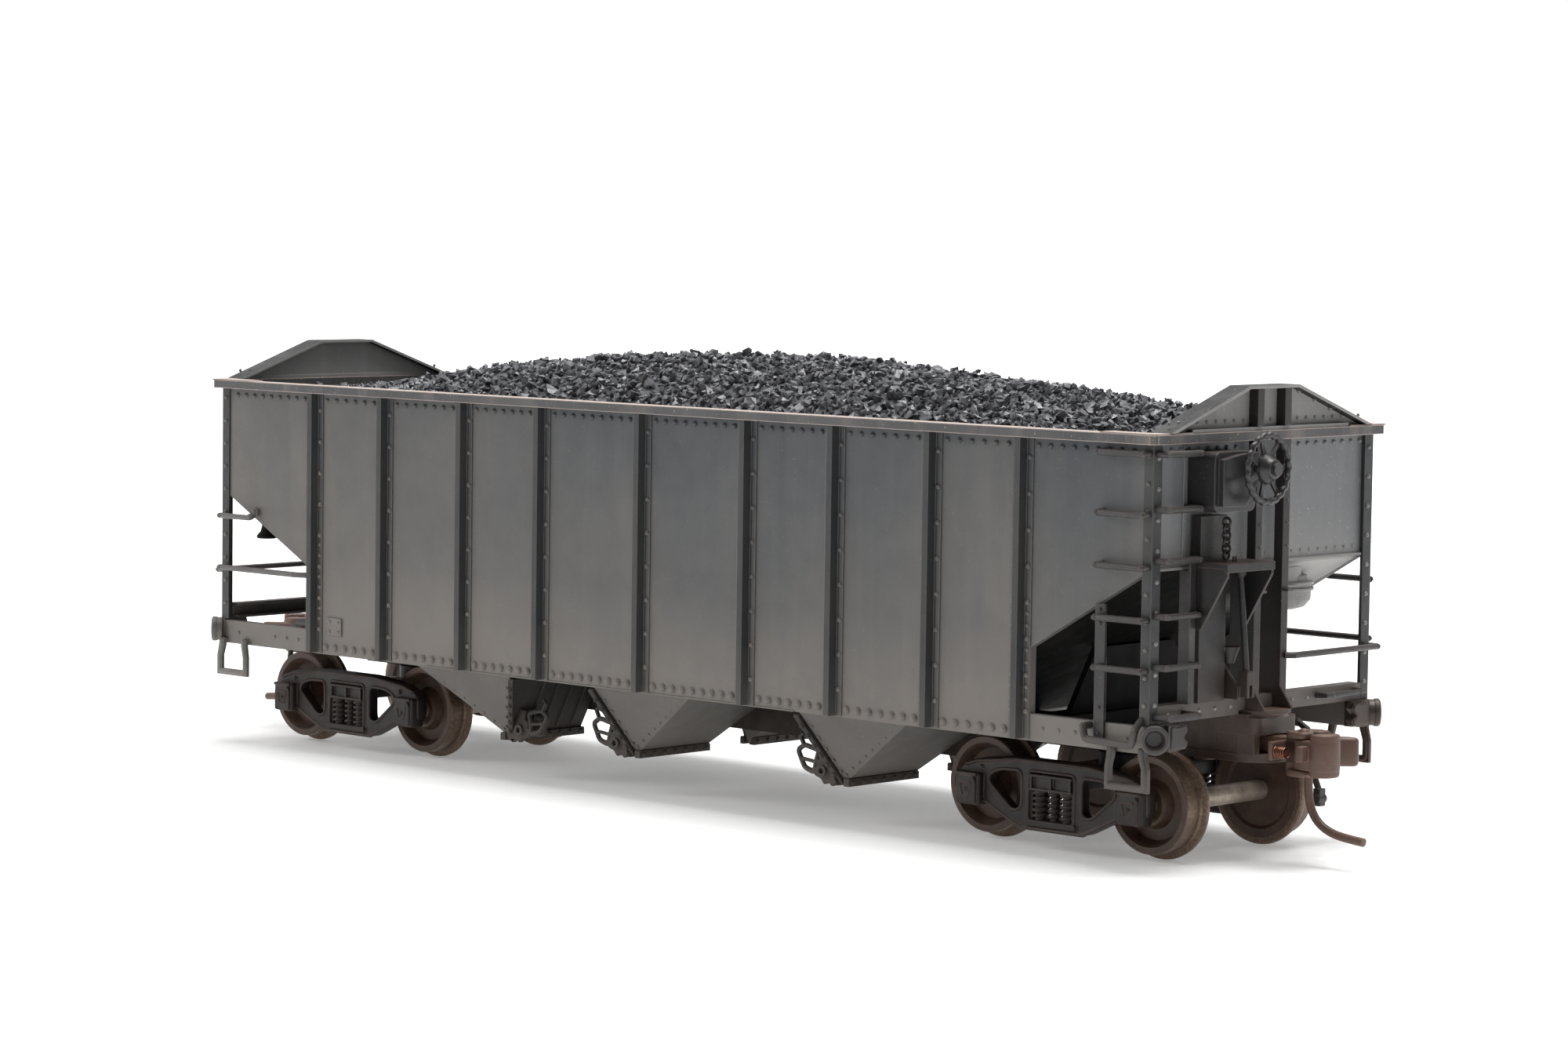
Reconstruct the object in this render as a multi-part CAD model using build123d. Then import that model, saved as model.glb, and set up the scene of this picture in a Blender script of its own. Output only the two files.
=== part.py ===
from build123d import *
import math
import os

# ------------------------------------------------------------------ driving dimensions (mm)
# frame: +X toward the brake-wheel end (B), -Y is the near side, z = 0 is the table under the flanges
SIDE_Y = 17.1            # outer face of the side sheets
SHEET_T = 0.8            # side sheet thickness
SILL_Z = 11.4            # bottom edge of the side sheets
CHORD_Z = 40.5           # underside of the top chord
CHORD_T = 0.9            # top chord depth
CHORD_Y = 18.35          # outer edge of the side chords
CHORD_X = 68.5           # outer edge of the end chords
POST_X = [0.0, 15.1, 27.2, 40.0, 51.6]
POST_Y = 18.15           # outer face of the post caps
CORNER_X = 67.6          # outer face of the corner angles
END_X = 67.1             # outer face of the end sheets
END_Z = 28.6             # bottom edge of the end sheets
SLOPE_FOOT = {"a": 34.4, "b": 37.0}
SLOPE_T = 0.6
SHIELD_Z = 45.7          # top of the heap shields
WHEEL_R = 4.80           # tread radius
FLANGE_R = 5.45
AXLE_Z = FLANGE_R
BACK_TO_BACK = 14.4
WHEEL_W = 2.8
AXLE_R = 1.0
JOURNAL_R = 0.60
RUN_FIT = 0.06           # radial running clearance
TRUCK_X = 51.7
AXLE_HALF = 10.2         # half the truck wheelbase
COUPLER_Z = 10.85
COUPLER_PIVOT = 64.0
KNUCKLE_PIN = (74.0, -1.7)
WIRE_R = 0.25
BRAKE_WHEEL = (72.4, -6.1, 38.1)
OUTLET_Z = 4.5
SILL_HALF = 3.3          # half width of the centre sill
LEDGE_Z = 36.2           # inner ledge that carries the load

# hopper bays: x of the door top, of the outlet edge and of the slope top; +1 when the door looks to -X
BAYS = {
    1: (-19.8, -23.5, -34.4, -1),
    2: (-6.9, -4.0, 7.1, 1),
    3: (22.7, 25.8, 37.0, 1),
}

os.makedirs("parts", exist_ok=True)


# ------------------------------------------------------------------ helpers
def block(x0, x1, y0, y1, z0, z1):
    box = Box(x1 - x0, y1 - y0, z1 - z0)
    return Pos((x0 + x1) / 2, (y0 + y1) / 2, (z0 + z1) / 2) * box


def poly_face(points):
    return Face(Wire.make_polygon([Vector(*p) for p in points], close=True))


def plate_xz(points, y0, y1):
    face = poly_face([(x, y0, z) for x, z in points])
    return Solid.extrude(face, Vector(0, y1 - y0, 0))


def plate_yz(points, x0, x1):
    face = poly_face([(x0, y, z) for y, z in points])
    return Solid.extrude(face, Vector(x1 - x0, 0, 0))


def plate_xy(points, z0, z1):
    face = poly_face([(x, y, z0) for x, y in points])
    return Solid.extrude(face, Vector(0, 0, z1 - z0))


def rod_between(p, q, r):
    start = Vector(*p)
    run = Vector(*q) - start
    return Solid.make_cylinder(r, run.length, Plane(origin=start, z_dir=run))


def wire_rod(points, r):
    body = rod_between(points[0], points[1], r)
    for i in range(1, len(points) - 1):
        body = body + Pos(*points[i]) * Sphere(r)
        body = body + rod_between(points[i], points[i + 1], r)
    return body


def disc(p, axis, r, length):
    return Solid.make_cylinder(r, length, Plane(origin=Vector(*p), z_dir=Vector(*axis)))


def tapered(p, axis, r0, r1, length):
    return Solid.make_cone(r0, r1, length, Plane(origin=Vector(*p), z_dir=Vector(*axis)))


def rect_loft(low, high):
    wires = []
    for x0, x1, y0, y1, z in (low, high):
        corners = [(x0, y0, z), (x1, y0, z), (x1, y1, z), (x0, y1, z)]
        wires.append(Wire.make_polygon([Vector(*c) for c in corners], close=True))
    return Solid.make_loft(wires, ruled=True)


def flip_y(shape):
    return shape.mirror(Plane.XZ)


def turn(shape):
    return shape.rotate(Axis.Z, 180)


def group(items):
    found = []
    for item in items:
        found.extend(item.solids())
    return Compound(found)


def save(name, *items):
    shape = group(items)
    shape.label = name
    export_step(shape, "parts/" + name + ".step")


# ------------------------------------------------------------------ side sheets, posts, chord
def slope_z(x, end):
    foot = SLOPE_FOOT[end]
    return SILL_Z + (abs(x) - foot) * (END_Z - SILL_Z) / (END_X - foot)


def side_sheet(left):
    far = {"right": "b" if left else "a", "left": "a" if left else "b"}
    last = POST_X[-1] + 1.3
    zr = slope_z(last, far["right"]) - 0.1
    zl = slope_z(last, far["left"]) - 0.1
    outline = [
        (-CORNER_X + 0.3, SILL_Z), (CORNER_X - 0.3, SILL_Z), (CORNER_X - 0.3, SILL_Z + 2.6),
        (last, SILL_Z + 2.6), (last, zr), (END_X, END_Z), (END_X, CHORD_Z),
        (-END_X, CHORD_Z), (-END_X, END_Z), (-last, zl), (-last, SILL_Z + 2.6),
        (-CORNER_X + 0.3, SILL_Z + 2.6),
    ]
    sheet = plate_xz(outline, -SIDE_Y, -SIDE_Y + SHEET_T)
    ledge = block(-64.0, 64.0, -SIDE_Y + SHEET_T - 0.1, -SIDE_Y + SHEET_T + 0.5, LEDGE_Z - 0.5, LEDGE_Z)
    sill_lip = block(-33.0, 22.0, -SIDE_Y - 0.12, -SIDE_Y + 0.1, SILL_Z, SILL_Z + 0.15)
    body = sheet + ledge + sill_lip
    return body if left else turn(body)


def under_slope(shape, end):
    # trims a piece of an end bay to the underside of its slope sheet
    s = 1 if end == "b" else -1
    line = [
        (s * 34.0, slope_z(34.0, end) - 0.02), (s * 67.0, slope_z(67.0, end) - 0.02),
        (s * 67.0, 60.0), (s * 34.0, 60.0),
    ]
    return shape - plate_xz(line, -20.0, 20.0)


def hat_post(x, z0, z1):
    c = POST_Y
    f = SIDE_Y + 0.14
    half = [(-1.3, SIDE_Y), (-1.3, f), (-0.56, f), (-0.36, c), (0.36, c), (0.56, f), (1.3, f), (1.3, SIDE_Y)]
    return plate_xy([(x + u, -v) for u, v in half], z0, z1)


def corner_angle(sign):
    x = sign * CORNER_X
    side_leg = block(min(x, x - sign * 1.15), max(x, x - sign * 1.15), -SIDE_Y - 0.2, -SIDE_Y, 14.2, CHORD_Z)
    end_leg = block(min(x, x - sign * 0.45), max(x, x - sign * 0.45), -SIDE_Y - 0.2, -SIDE_Y + 1.1, 14.2, CHORD_Z)
    return side_leg + end_leg


def side_posts():
    items = []
    for x in sorted({s * p for p in POST_X for s in (-1, 1)}):
        items.append(hat_post(x, SILL_Z + 0.15, CHORD_Z))
    items.append(corner_angle(1) - block(60, 67.3, -17.1, -16.0, 14, 41))
    items.append(corner_angle(-1) - block(-67.3, -60, -17.1, -16.0, 14, 41))
    return items


def trimmed_corner(items):
    # the end legs stop at the outer face of the end sheets
    keep = []
    for item in items:
        keep.append(item - block(-END_X, END_X, -SIDE_Y, 0, 10, 45))
    return keep


posts_l = trimmed_corner(side_posts())
save("side_sheet_l", side_sheet(True))
save("side_sheet_r", side_sheet(False))
save("side_posts_l", *posts_l)
save("side_posts_r", *[turn(p) for p in posts_l])


def top_chord():
    outer = block(-CHORD_X, CHORD_X, -CHORD_Y, CHORD_Y, CHORD_Z, CHORD_Z + CHORD_T)
    inner = block(-66.6, 66.6, -16.3, 16.3, CHORD_Z - 1, CHORD_Z + 2)
    ring = outer - inner
    ring = chamfer(ring.edges().filter_by(Axis.Z).group_by(lambda e: round(abs(e.center().X)))[-1], 0.6)
    for sx in (-1, 1):
        for sy in (-1, 1):
            corner = [(66.6, 16.3), (61.8, 16.3), (61.8, 18.2), (68.35, 18.2), (68.35, 12.4), (66.6, 12.4)]
            gusset = plate_xy(corner, CHORD_Z + CHORD_T - 0.05, CHORD_Z + CHORD_T + 0.12)
            gusset = gusset if sx > 0 else gusset.mirror(Plane.YZ)
            gusset = gusset if sy > 0 else flip_y(gusset)
            ring = ring + gusset
    return ring


save("top_chord", top_chord())


# ------------------------------------------------------------------ ends
def end_sheet():
    sheet = block(END_X - 0.5, END_X, -16.3, 16.3, END_Z, CHORD_Z)
    lip = block(END_X - 0.5, END_X + 0.35, -15.9, 15.9, END_Z - 0.05, END_Z + 0.2)
    return sheet + lip


def heap_shield():
    z0 = CHORD_Z + CHORD_T + 0.12
    z1 = SHIELD_Z
    face = plate_yz([(-15.9, z0), (-3.9, z1), (3.9, z1), (15.9, z0)], 66.9, 67.4)
    t = 0.3
    flange = plate_yz([(-15.9, z0), (-3.9, z1), (3.9, z1), (15.9, z0), (15.9 - 0.9, z0), (3.9 - 0.1, z1 - t),
                       (-3.9 + 0.1, z1 - t), (-15.9 + 0.9, z0)], 66.0, 68.5)
    foot = block(66.8, 68.2, -12.3, 12.3, CHORD_Z + CHORD_T, z0 + 0.25)
    return face + flange + foot


def end_posts():
    items = []
    for y in (-2.15, 2.15):
        web_low = under_slope(block(65.6, 68.3, y - 0.5, y - 0.1, 15.9, END_Z - 0.1), "b")
        web_low = web_low + block(67.6, 68.3, y - 0.5, y - 0.1, 14.6, 16.0)
        web_high = block(END_X + 0.36, 68.3, y - 0.5, y - 0.1, END_Z - 0.1, CHORD_Z)
        front = block(68.2, 68.5, y - 0.5, y + 0.5, 14.6, CHORD_Z)
        foot = plate_yz([(y - 0.1, 14.6), (y + 1.0, 14.6), (y + 0.5, 15.3), (y + 0.45, 16.2), (y - 0.1, 16.2)],
                        68.2, 68.5)
        toe = plate_xz([(68.3, 14.6), (70.0, 14.6), (68.5, 16.6), (68.3, 16.6)], y - 0.5, y - 0.2)
        items.append(web_low + web_high + front + foot + toe)
        # the post goes on above the chord, up the face of the heap shield
        base = CHORD_Z + CHORD_T + 0.37
        crest = SHIELD_Z - 0.32
        upper_web = block(67.41, 68.3, y - 0.5, y - 0.1, base, crest)
        upper_front = block(68.21, 68.48, y - 0.5, y + 0.5, base, crest)
        items.append(upper_web + upper_front)
    return items


def slope_sheet(end):
    foot = SLOPE_FOOT[end]
    run = END_X - 0.5 - foot
    grade = (END_Z - SILL_Z) / (END_X - foot)
    z_top = SILL_Z + run * grade
    points = [(foot, SILL_Z), (foot + run, z_top), (foot + run, z_top + SLOPE_T), (foot, SILL_Z + SLOPE_T)]
    return plate_xz(points, -16.3, 16.3)


def end_sill():
    web = block(67.2, 67.6, -15.98, 15.98, 14.22, 15.9)
    top = block(66.2, 67.6, -15.98, 15.98, 15.6, 15.9)
    low = block(66.2, 67.6, -15.98, 15.98, 14.22, 14.5)
    return web + top + low - block(65, 68.6, -3.6, 3.6, 14.0, 14.62)


for end, place in (("b", lambda s: s), ("a", turn)):
    save("end_sheet_" + end, place(end_sheet()))
    save("heap_shield_" + end, place(heap_shield()))
    save("end_posts_" + end, *[place(p) for p in end_posts()])
    save("slope_sheet_" + end, place(slope_sheet(end)))
    save("end_sill_" + end, place(end_sill()))


# ------------------------------------------------------------------ hopper floor, bays, doors
def ridge(x0, apex, x1, z_apex):
    t = 0.6
    points = [(x0, SILL_Z), (apex, z_apex), (x1, SILL_Z), (x1 - t, SILL_Z), (apex, z_apex - t), (x0 + t, SILL_Z)]
    return plate_xz(points, -16.3, 16.3)


save("floor_ridges", ridge(BAYS[1][0], -13.35, BAYS[2][0], 17.4), ridge(BAYS[2][2], 16.4, BAYS[3][0], 17.4))


def chute(door_top, outlet, slope_top, way):
    inner = SILL_HALF + 0.02
    outer_low = (min(outlet, outlet + way * 0.3), max(outlet, outlet + way * 0.3), inner, 13.5, OUTLET_Z)
    outer_high = (min(door_top, slope_top), max(door_top, slope_top), inner, SIDE_Y, SILL_Z)
    shell = rect_loft(outer_low, outer_high)
    wall = 0.45
    a = outlet - way * 3.0
    b = outlet - way * 0.6
    c = door_top - way * 3.0
    d = slope_top - way * 0.9
    low = (min(a, b), max(a, b), inner + wall, 13.5 - wall, OUTLET_Z - 0.001)
    high = (min(c, d), max(c, d), inner + wall, SIDE_Y - wall - 0.05, SILL_Z + 0.001)
    body = shell - rect_loft(low, high)
    e, f = sorted((outlet + way * 0.2, outlet + way * 0.5))
    g, h = sorted((outlet, outlet + way * 0.7))
    lip = rect_loft((e, f, inner, 13.7, OUTLET_Z - 0.25), (g, h, inner, 13.8, OUTLET_Z + 0.25))
    return body + lip


def door(door_top, outlet, slope_top, way):
    t = 0.65
    lean = (door_top - outlet) / (SILL_Z - OUTLET_Z)
    z0 = OUTLET_Z - 0.3
    z1 = SILL_Z - 0.25
    x0 = outlet + lean * (z0 - OUTLET_Z)
    x1 = outlet + lean * (z1 - OUTLET_Z)
    gap = 0.02
    low = (min(x0 - way * gap, x0 - way * t), max(x0 - way * gap, x0 - way * t), 3.6, 13.35, z0)
    high = (min(x1 - way * gap, x1 - way * t), max(x1 - way * gap, x1 - way * t), 3.6, 16.75, z1)
    return rect_loft(low, high)


def door_lock(door_top, outlet, slope_top, way):
    lean = (door_top - outlet) / (SILL_Z - OUTLET_Z)

    def at(depth, z):
        return (outlet + lean * (z - OUTLET_Z) - way * (0.67 + depth), z)

    plate = plate_xz([at(0.0, 7.3), at(0.9, 7.3), at(1.1, 6.2), at(2.0, 5.4), at(1.9, 4.5), at(0.9, 4.4),
                      at(0.5, 4.15), at(0.0, 4.15)], 11.9, 12.6)
    stem = [at(1.0, 6.9), at(2.6, 6.7), at(3.1, 4.9), at(1.7, 4.7)]
    loop = wire_rod([(x, 12.25, z) for x, z in stem], 0.24)
    return plate + loop


for number, bay in BAYS.items():
    near = chute(*bay)
    panel = door(*bay)
    lock = door_lock(*bay)
    save("hopper_bay_%d" % number, near, flip_y(near))
    save("hopper_doors_%d" % number, panel, flip_y(panel), lock, flip_y(lock))


# ------------------------------------------------------------------ underframe
def centre_sill():
    deep = [
        (-33.6, 6.7), (36.2, 6.7), (38.6, 9.1), (66.2, 9.1),
        (66.2, SILL_Z), (-66.2, SILL_Z), (-66.2, 9.1), (-36.0, 9.1),
    ]
    body = plate_xz(deep, -SILL_HALF, SILL_HALF)
    core = [
        (-33.0, 6.0), (35.6, 6.0), (38.0, 8.5), (58.6, 8.5),
        (58.6, SILL_Z - 0.5), (-58.6, SILL_Z - 0.5), (-58.6, 8.5), (-35.4, 8.5),
    ]
    body = body - plate_xz(core, -SILL_HALF + 0.6, SILL_HALF - 0.6)
    body = body - block(58.4, 66.3, -SILL_HALF - 1, SILL_HALF + 1, 9.0, 12.0)
    body = body - block(-66.3, -58.4, -SILL_HALF - 1, SILL_HALF + 1, 9.0, 12.0)
    for s in (-1, 1):
        boss = disc((s * TRUCK_X, 0, 9.1), (0, 0, 1), 2.6, SILL_Z - 9.1 - 0.2)
        body = body + boss
        body = body - disc((s * TRUCK_X, 0, 8.0), (0, 0, 1), 1.0, 6.0)
    return body


def bolster():
    profile = [(-16.3, 11.6), (-16.3, 13.4), (16.3, 13.4), (16.3, 11.6), (4.4, SILL_Z), (-4.4, SILL_Z)]
    web = plate_yz(profile, TRUCK_X - 2.0, TRUCK_X + 2.0)
    hollow = plate_yz([(-15.7, 11.3), (-15.7, 12.9), (15.7, 12.9), (15.7, 11.3)], TRUCK_X - 1.5, TRUCK_X + 1.5)
    body = web - hollow
    stem = block(TRUCK_X - 0.3, TRUCK_X + 0.3, -15.8, 15.8, SILL_Z, 13.0)
    leg = plate_yz([(-10, 13.3), (10, 13.3), (6.0, 19.6), (-6.0, 19.6)], TRUCK_X - 0.35, TRUCK_X + 0.35)
    return body + stem + leg


save("centre_sill", centre_sill())
save("bolster_b", bolster())
save("bolster_a", turn(bolster()))


def kingpin():
    shank = disc((TRUCK_X, 0, 6.3), (0, 0, 1), 0.98, 4.6)
    head = disc((TRUCK_X, 0, 5.2), (0, 0, 1), 1.9, 1.1)
    slot = block(TRUCK_X - 2, TRUCK_X + 2, -0.2, 0.2, 5.1, 5.6)
    return shank + head - slot


save("kingpin_b", kingpin())
save("kingpin_a", turn(kingpin()))


# ------------------------------------------------------------------ draft boxes and couplers
def draft_box():
    outer = block(60.4, 69.6, -3.45, 3.45, 12.25, 13.9)
    outer = fillet(outer.edges().filter_by(Axis.Z).group_by(Axis.X)[-1], 1.0)
    back = block(58.4, 67.4, -3.2, 3.2, 10.42, 12.3)
    cheeks = block(67.3, 69.4, -3.4, 3.4, 10.42, 12.3)
    body = outer + back + cheeks
    cavity = block(62.2, 70, -2.55, 2.55, 10.3, 12.25)
    body = body - cavity
    nose = Pos(66.6, 0, 14.05) * Cylinder(3.5, 0.34)
    nose = nose + block(66.6, 68.6, -3.45, 3.45, 13.88, 14.22)
    nose = nose - block(60, 66.4, -5, 5, 13, 15)
    cap = block(66.3, 69.8, -2.9, 2.9, 14.2, 14.6)
    cap = fillet(cap.edges().filter_by(Axis.Z).group_by(Axis.X)[-1], 1.6)
    body = body + nose + cap
    post = disc((COUPLER_PIVOT, 0, 10.42), (0, 0, 1), 0.85, 1.9)
    return body + post


def draft_lid():
    lid = block(58.6, 67.0, -3.3, 3.3, 9.6, 10.4)
    round_front = Pos(67.0, 0, 10.0) * Cylinder(3.3, 0.8)
    lid = lid + round_front
    return lid - disc((COUPLER_PIVOT - 3.0, 0, 9.0), (0, 0, 1), 0.62, 2)


def lid_screw():
    head = disc((COUPLER_PIVOT - 3.0, 0, 9.05), (0, 0, 1), 1.2, 0.55)
    shank = disc((COUPLER_PIVOT - 3.0, 0, 9.55), (0, 0, 1), 0.62, 0.8)
    slot = block(COUPLER_PIVOT - 5, COUPLER_PIVOT - 1, -0.15, 0.15, 8.9, 9.3)
    return head + shank - slot


draft_parts = [draft_box(), draft_lid(), lid_screw()]
save("draft_box_b", *draft_parts)
save("draft_box_a", *[turn(p) for p in draft_parts])


def coupler():
    z0 = COUPLER_Z - 0.4
    z1 = COUPLER_Z + 1.3
    shank = block(64.0, 72.4, -0.9, 0.9, z0, z1)
    eye = disc((COUPLER_PIVOT, 0, z0), (0, 0, 1), 1.6, z1 - z0)
    head = plate_xy([(71.6, -1.5), (73.1, -1.2), (73.1, 0.4), (74.4, 0.9), (75.6, 2.2), (76.7, 3.2), (76.5, 3.9),
                     (75.4, 3.9), (73.2, 2.6), (71.6, 1.7)], 8.75, 12.9)
    ear = [(71.8, -1.5), (72.8, -2.7), (74.6, -2.8), (75.0, -1.7), (74.6, -0.8), (73.0, -0.6)]
    lug_top = plate_xy(ear, 12.35, 12.95)
    lug_low = plate_xy(ear, 8.7, 9.3)
    seat = block(71.4, 72.0, -4.0, -0.8, 10.2, 12.0)
    body = shank + eye + head + lug_top + lug_low + seat
    pin = disc((KNUCKLE_PIN[0], KNUCKLE_PIN[1], 8.7), (0, 0, 1), 0.42, 4.5)
    knob = disc((KNUCKLE_PIN[0], KNUCKLE_PIN[1], 12.9), (0, 0, 1), 0.62, 0.45)
    body = body + pin + knob
    body = body - disc((COUPLER_PIVOT, 0, 5.0), (0, 0, 1), 0.85 + RUN_FIT, 10.0)
    return body


def trip_pin():
    path = [(73.4, 0.0, 8.75), (73.4, 0.0, 7.2), (73.6, 0.0, 5.6), (74.4, 0.0, 4.3), (75.8, 0.0, 3.4),
            (77.6, 0.0, 2.95), (80.0, 0.0, 2.85)]
    return wire_rod(path, 0.42)


def knuckle():
    body = plate_xy([(73.15, -2.5), (74.6, -2.75), (76.2, -2.7), (77.2, -2.0), (77.5, -1.0), (77.2, 0.1), (76.5, 0.35),
                     (75.9, 0.0), (76.0, -0.8), (75.3, -1.0), (74.6, -0.75), (73.35, -1.0)], 9.35, 12.3)
    face_up = plate_xy([(75.2, -2.75), (76.2, -2.7), (77.2, -2.0), (77.5, -1.0), (77.2, 0.1), (76.5, 0.35),
                        (75.9, 0.0), (76.0, -0.8), (75.3, -1.0)], 8.75, 12.95)
    lug = block(74.5, 75.3, -3.9, -2.6, 10.3, 11.8)
    body = body + face_up + lug
    return body - disc((KNUCKLE_PIN[0], KNUCKLE_PIN[1], 5.0), (0, 0, 1), 0.42 + RUN_FIT, 10.0)


def knuckle_spring():
    turns = []
    for i in range(5):
        ring = Torus(0.52, 0.1)
        turns.append(Pos(72.2 + 0.28 * i, -3.45, 11.0) * Rot(0, 90, 0) * ring)
    coil = rod_between((72.0, -3.45, 11.0), (73.38, -3.45, 11.0), 0.45)
    for ring in turns:
        coil = coil + ring
    return [coil - block(70.0, 72.0, -5.0, 0.0, 9.0, 13.0)]


coupler_body = coupler() + trip_pin()
save("coupler_b", coupler_body)
save("coupler_a", turn(coupler_body))
save("knuckle_b", knuckle())
save("knuckle_a", turn(knuckle()))
save("knuckle_spring_b", *knuckle_spring())
save("knuckle_spring_a", *[turn(s) for s in knuckle_spring()])


# ------------------------------------------------------------------ trucks
def side_frame():
    c = TRUCK_X
    outline = [(-11.9, 4.1), (-11.9, 7.2), (-9.6, 8.3), (-4.6, 8.9), (4.6, 8.9), (9.6, 8.3), (11.9, 7.2), (11.9, 4.1),
               (8.4, 3.9), (4.0, 1.9), (-4.0, 1.9), (-8.4, 3.9)]
    frame = plate_xz([(c + u, z) for u, z in outline], -12.2, -10.7)
    for s in (-1, 1):
        window = [(3.9, 7.5), (7.7, 7.2), (7.9, 6.0), (4.6, 3.7), (3.9, 4.1)]
        frame = frame - plate_xz([(c + s * u, z) for u, z in window], -13, -10)
        box = block(c + s * AXLE_HALF - 1.5, c + s * AXLE_HALF + 1.5, -12.9, -12.1, 3.7, 6.9)
        lid_shape = ((-1.3, 3.9), (-1.3, 6.3), (-0.8, 6.8), (0.8, 6.8), (1.3, 6.3), (1.3, 3.9))
        lid = plate_xz([(c + s * AXLE_HALF + u, z) for u, z in lid_shape], -13.15, -12.8)
        ear = block(c + s * AXLE_HALF - 0.5, c + s * AXLE_HALF + 0.5, -13.3, -12.8, 6.2, 6.6)
        frame = frame + box + lid + ear
        hole = disc((c + s * AXLE_HALF, -10.6, AXLE_Z), (0, -1, 0), JOURNAL_R + RUN_FIT, 0.5)
        cone = tapered((c + s * AXLE_HALF, -11.1, AXLE_Z), (0, -1, 0), JOURNAL_R + RUN_FIT, 0.12, 1.3)
        frame = frame - hole - cone
    frame = frame - block(c - 2.9, c + 2.9, -13, -10, 2.8, 7.7)
    rim = block(c - 3.3, c + 3.3, -12.5, -12.1, 7.7, 8.3)
    seat = block(c - 3.2, c + 3.2, -12.5, -10.9, 2.4, 2.9)
    bolster_end = block(c - 2.5, c + 2.5, -12.35, -10.6, 5.9, 7.4)
    for u in (-1.8, 0.0, 1.8):
        coil = disc((c + u, -11.6, 2.8), (0, 0, 1), 0.72, 3.2)
        for k in range(5):
            coil = coil + Pos(c + u, -11.6, 3.15 + 0.6 * k) * Torus(0.62, 0.17)
        frame = frame + coil
    strut = [(-2.95, 7.6), (-2.5, 7.6), (-2.5, 2.8), (-2.95, 2.8)]
    for s in (-1, 1):
        frame = frame + plate_xz([(c + s * u, z) for u, z in strut], -12.0, -10.9)
    return frame + rim + seat + bolster_end


def truck():
    near = side_frame()
    c = TRUCK_X
    far = near.rotate(Axis((c, 0, 0), (0, 0, 1)), 180)
    beam = block(c - 2.4, c + 2.4, -11.0, 11.0, 6.0, 7.5)
    plate = disc((c, 0, 6.35), (0, 0, 1), 3.2, 2.65)
    body = near + far + beam + plate
    body = body - disc((c, 0, 4.0), (0, 0, 1), 0.98 + RUN_FIT, 6.0)
    return body - disc((c, 0, 4.0), (0, 0, 1), 2.1, 2.35)


save("truck_frame_b", truck())
save("truck_frame_a", turn(truck()))


def wheel_pair(x):
    inner = BACK_TO_BACK / 2
    w = WHEEL_W
    half = [
        (AXLE_R, 0.35), (AXLE_R, w - 0.1), (1.7, w), (2.0, w - 0.1), (2.4, 1.75), (3.5, 1.55),
        (3.9, w - 0.35), (4.1, w), (WHEEL_R - 0.12, w), (WHEEL_R, w - 0.15), (WHEEL_R + 0.02, 0.95),
        (5.0, 0.72), (FLANGE_R - 0.04, 0.62), (FLANGE_R, 0.42), (FLANGE_R - 0.06, 0.12),
        (5.2, 0.0), (3.9, 0.0), (3.6, 0.25), (2.0, 0.35),
    ]
    face = poly_face([(x + r, inner + t, AXLE_Z) for r, t in half])
    near = Solid.revolve(face, 360, Axis((x, 0, AXLE_Z), (0, 1, 0)))
    return [near, flip_y(near)]


def axle(x):
    middle = disc((x, -9.99, AXLE_Z), (0, 1, 0), AXLE_R, 19.98)
    parts = middle
    for s in (-1, 1):
        parts = parts + disc((x, s * 9.9, AXLE_Z), (0, s, 0), JOURNAL_R, 1.15)
        parts = parts + tapered((x, s * 11.05, AXLE_Z), (0, s, 0), JOURNAL_R, 0.06, 1.15)
    return parts


for number, x in enumerate((-TRUCK_X - AXLE_HALF, -TRUCK_X + AXLE_HALF, TRUCK_X - AXLE_HALF, TRUCK_X + AXLE_HALF), 1):
    save("wheels_%d" % number, *wheel_pair(x))
    save("axle_%d" % number, axle(x))


# ------------------------------------------------------------------ brake gear at the B end
def brake_platform():
    board = block(68.5, 72.2, -11.7, -4.4, 28.85, 29.3)
    rail = block(71.8, 72.2, -11.7, -4.4, 28.5, 28.9)
    items = board + rail
    for y in (-11.65, -4.8):
        bracket = plate_xz([(68.5, 28.86), (72.1, 28.86), (72.1, 28.1), (69.1, 23.0), (68.5, 23.0)], y, y + 0.3)
        items = items + bracket
    return items


def brake_post():
    web = block(65.6, 68.3, -8.1, -7.7, 15.9, END_Z - 0.1)
    front = block(68.2, 68.5, -8.1, -7.1, 15.9, 33.6)
    cover = block(67.0, 68.5, -11.1, -8.0, 15.9, END_Z - 0.1) - block(66.0, 68.2, -10.7, -7.8, 15, 40)
    upper = block(END_X + 0.36, 68.5, -11.1, -7.1, END_Z - 0.1, 33.6)
    return under_slope(web + cover, "b") + front + upper


def brake_housing():
    case = block(END_X, 70.3, -11.5, -5.2, 34.0, 39.7)
    case = fillet(case.edges().filter_by(Axis.X), 0.8)
    cover = plate_yz([(-10.9, 34.6), (-10.9, 39.0), (-8.4, 39.4), (-5.5, 39.6), (-5.3, 37.0), (-7.4, 34.5)], 70.2, 70.9)
    shaft = disc((70.8, BRAKE_WHEEL[1], BRAKE_WHEEL[2]), (1, 0, 0), 0.5, 2.6)
    nut = disc((73.35, BRAKE_WHEEL[1], BRAKE_WHEEL[2]), (1, 0, 0), 0.62, 0.35)
    return case + cover + shaft + nut


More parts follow.
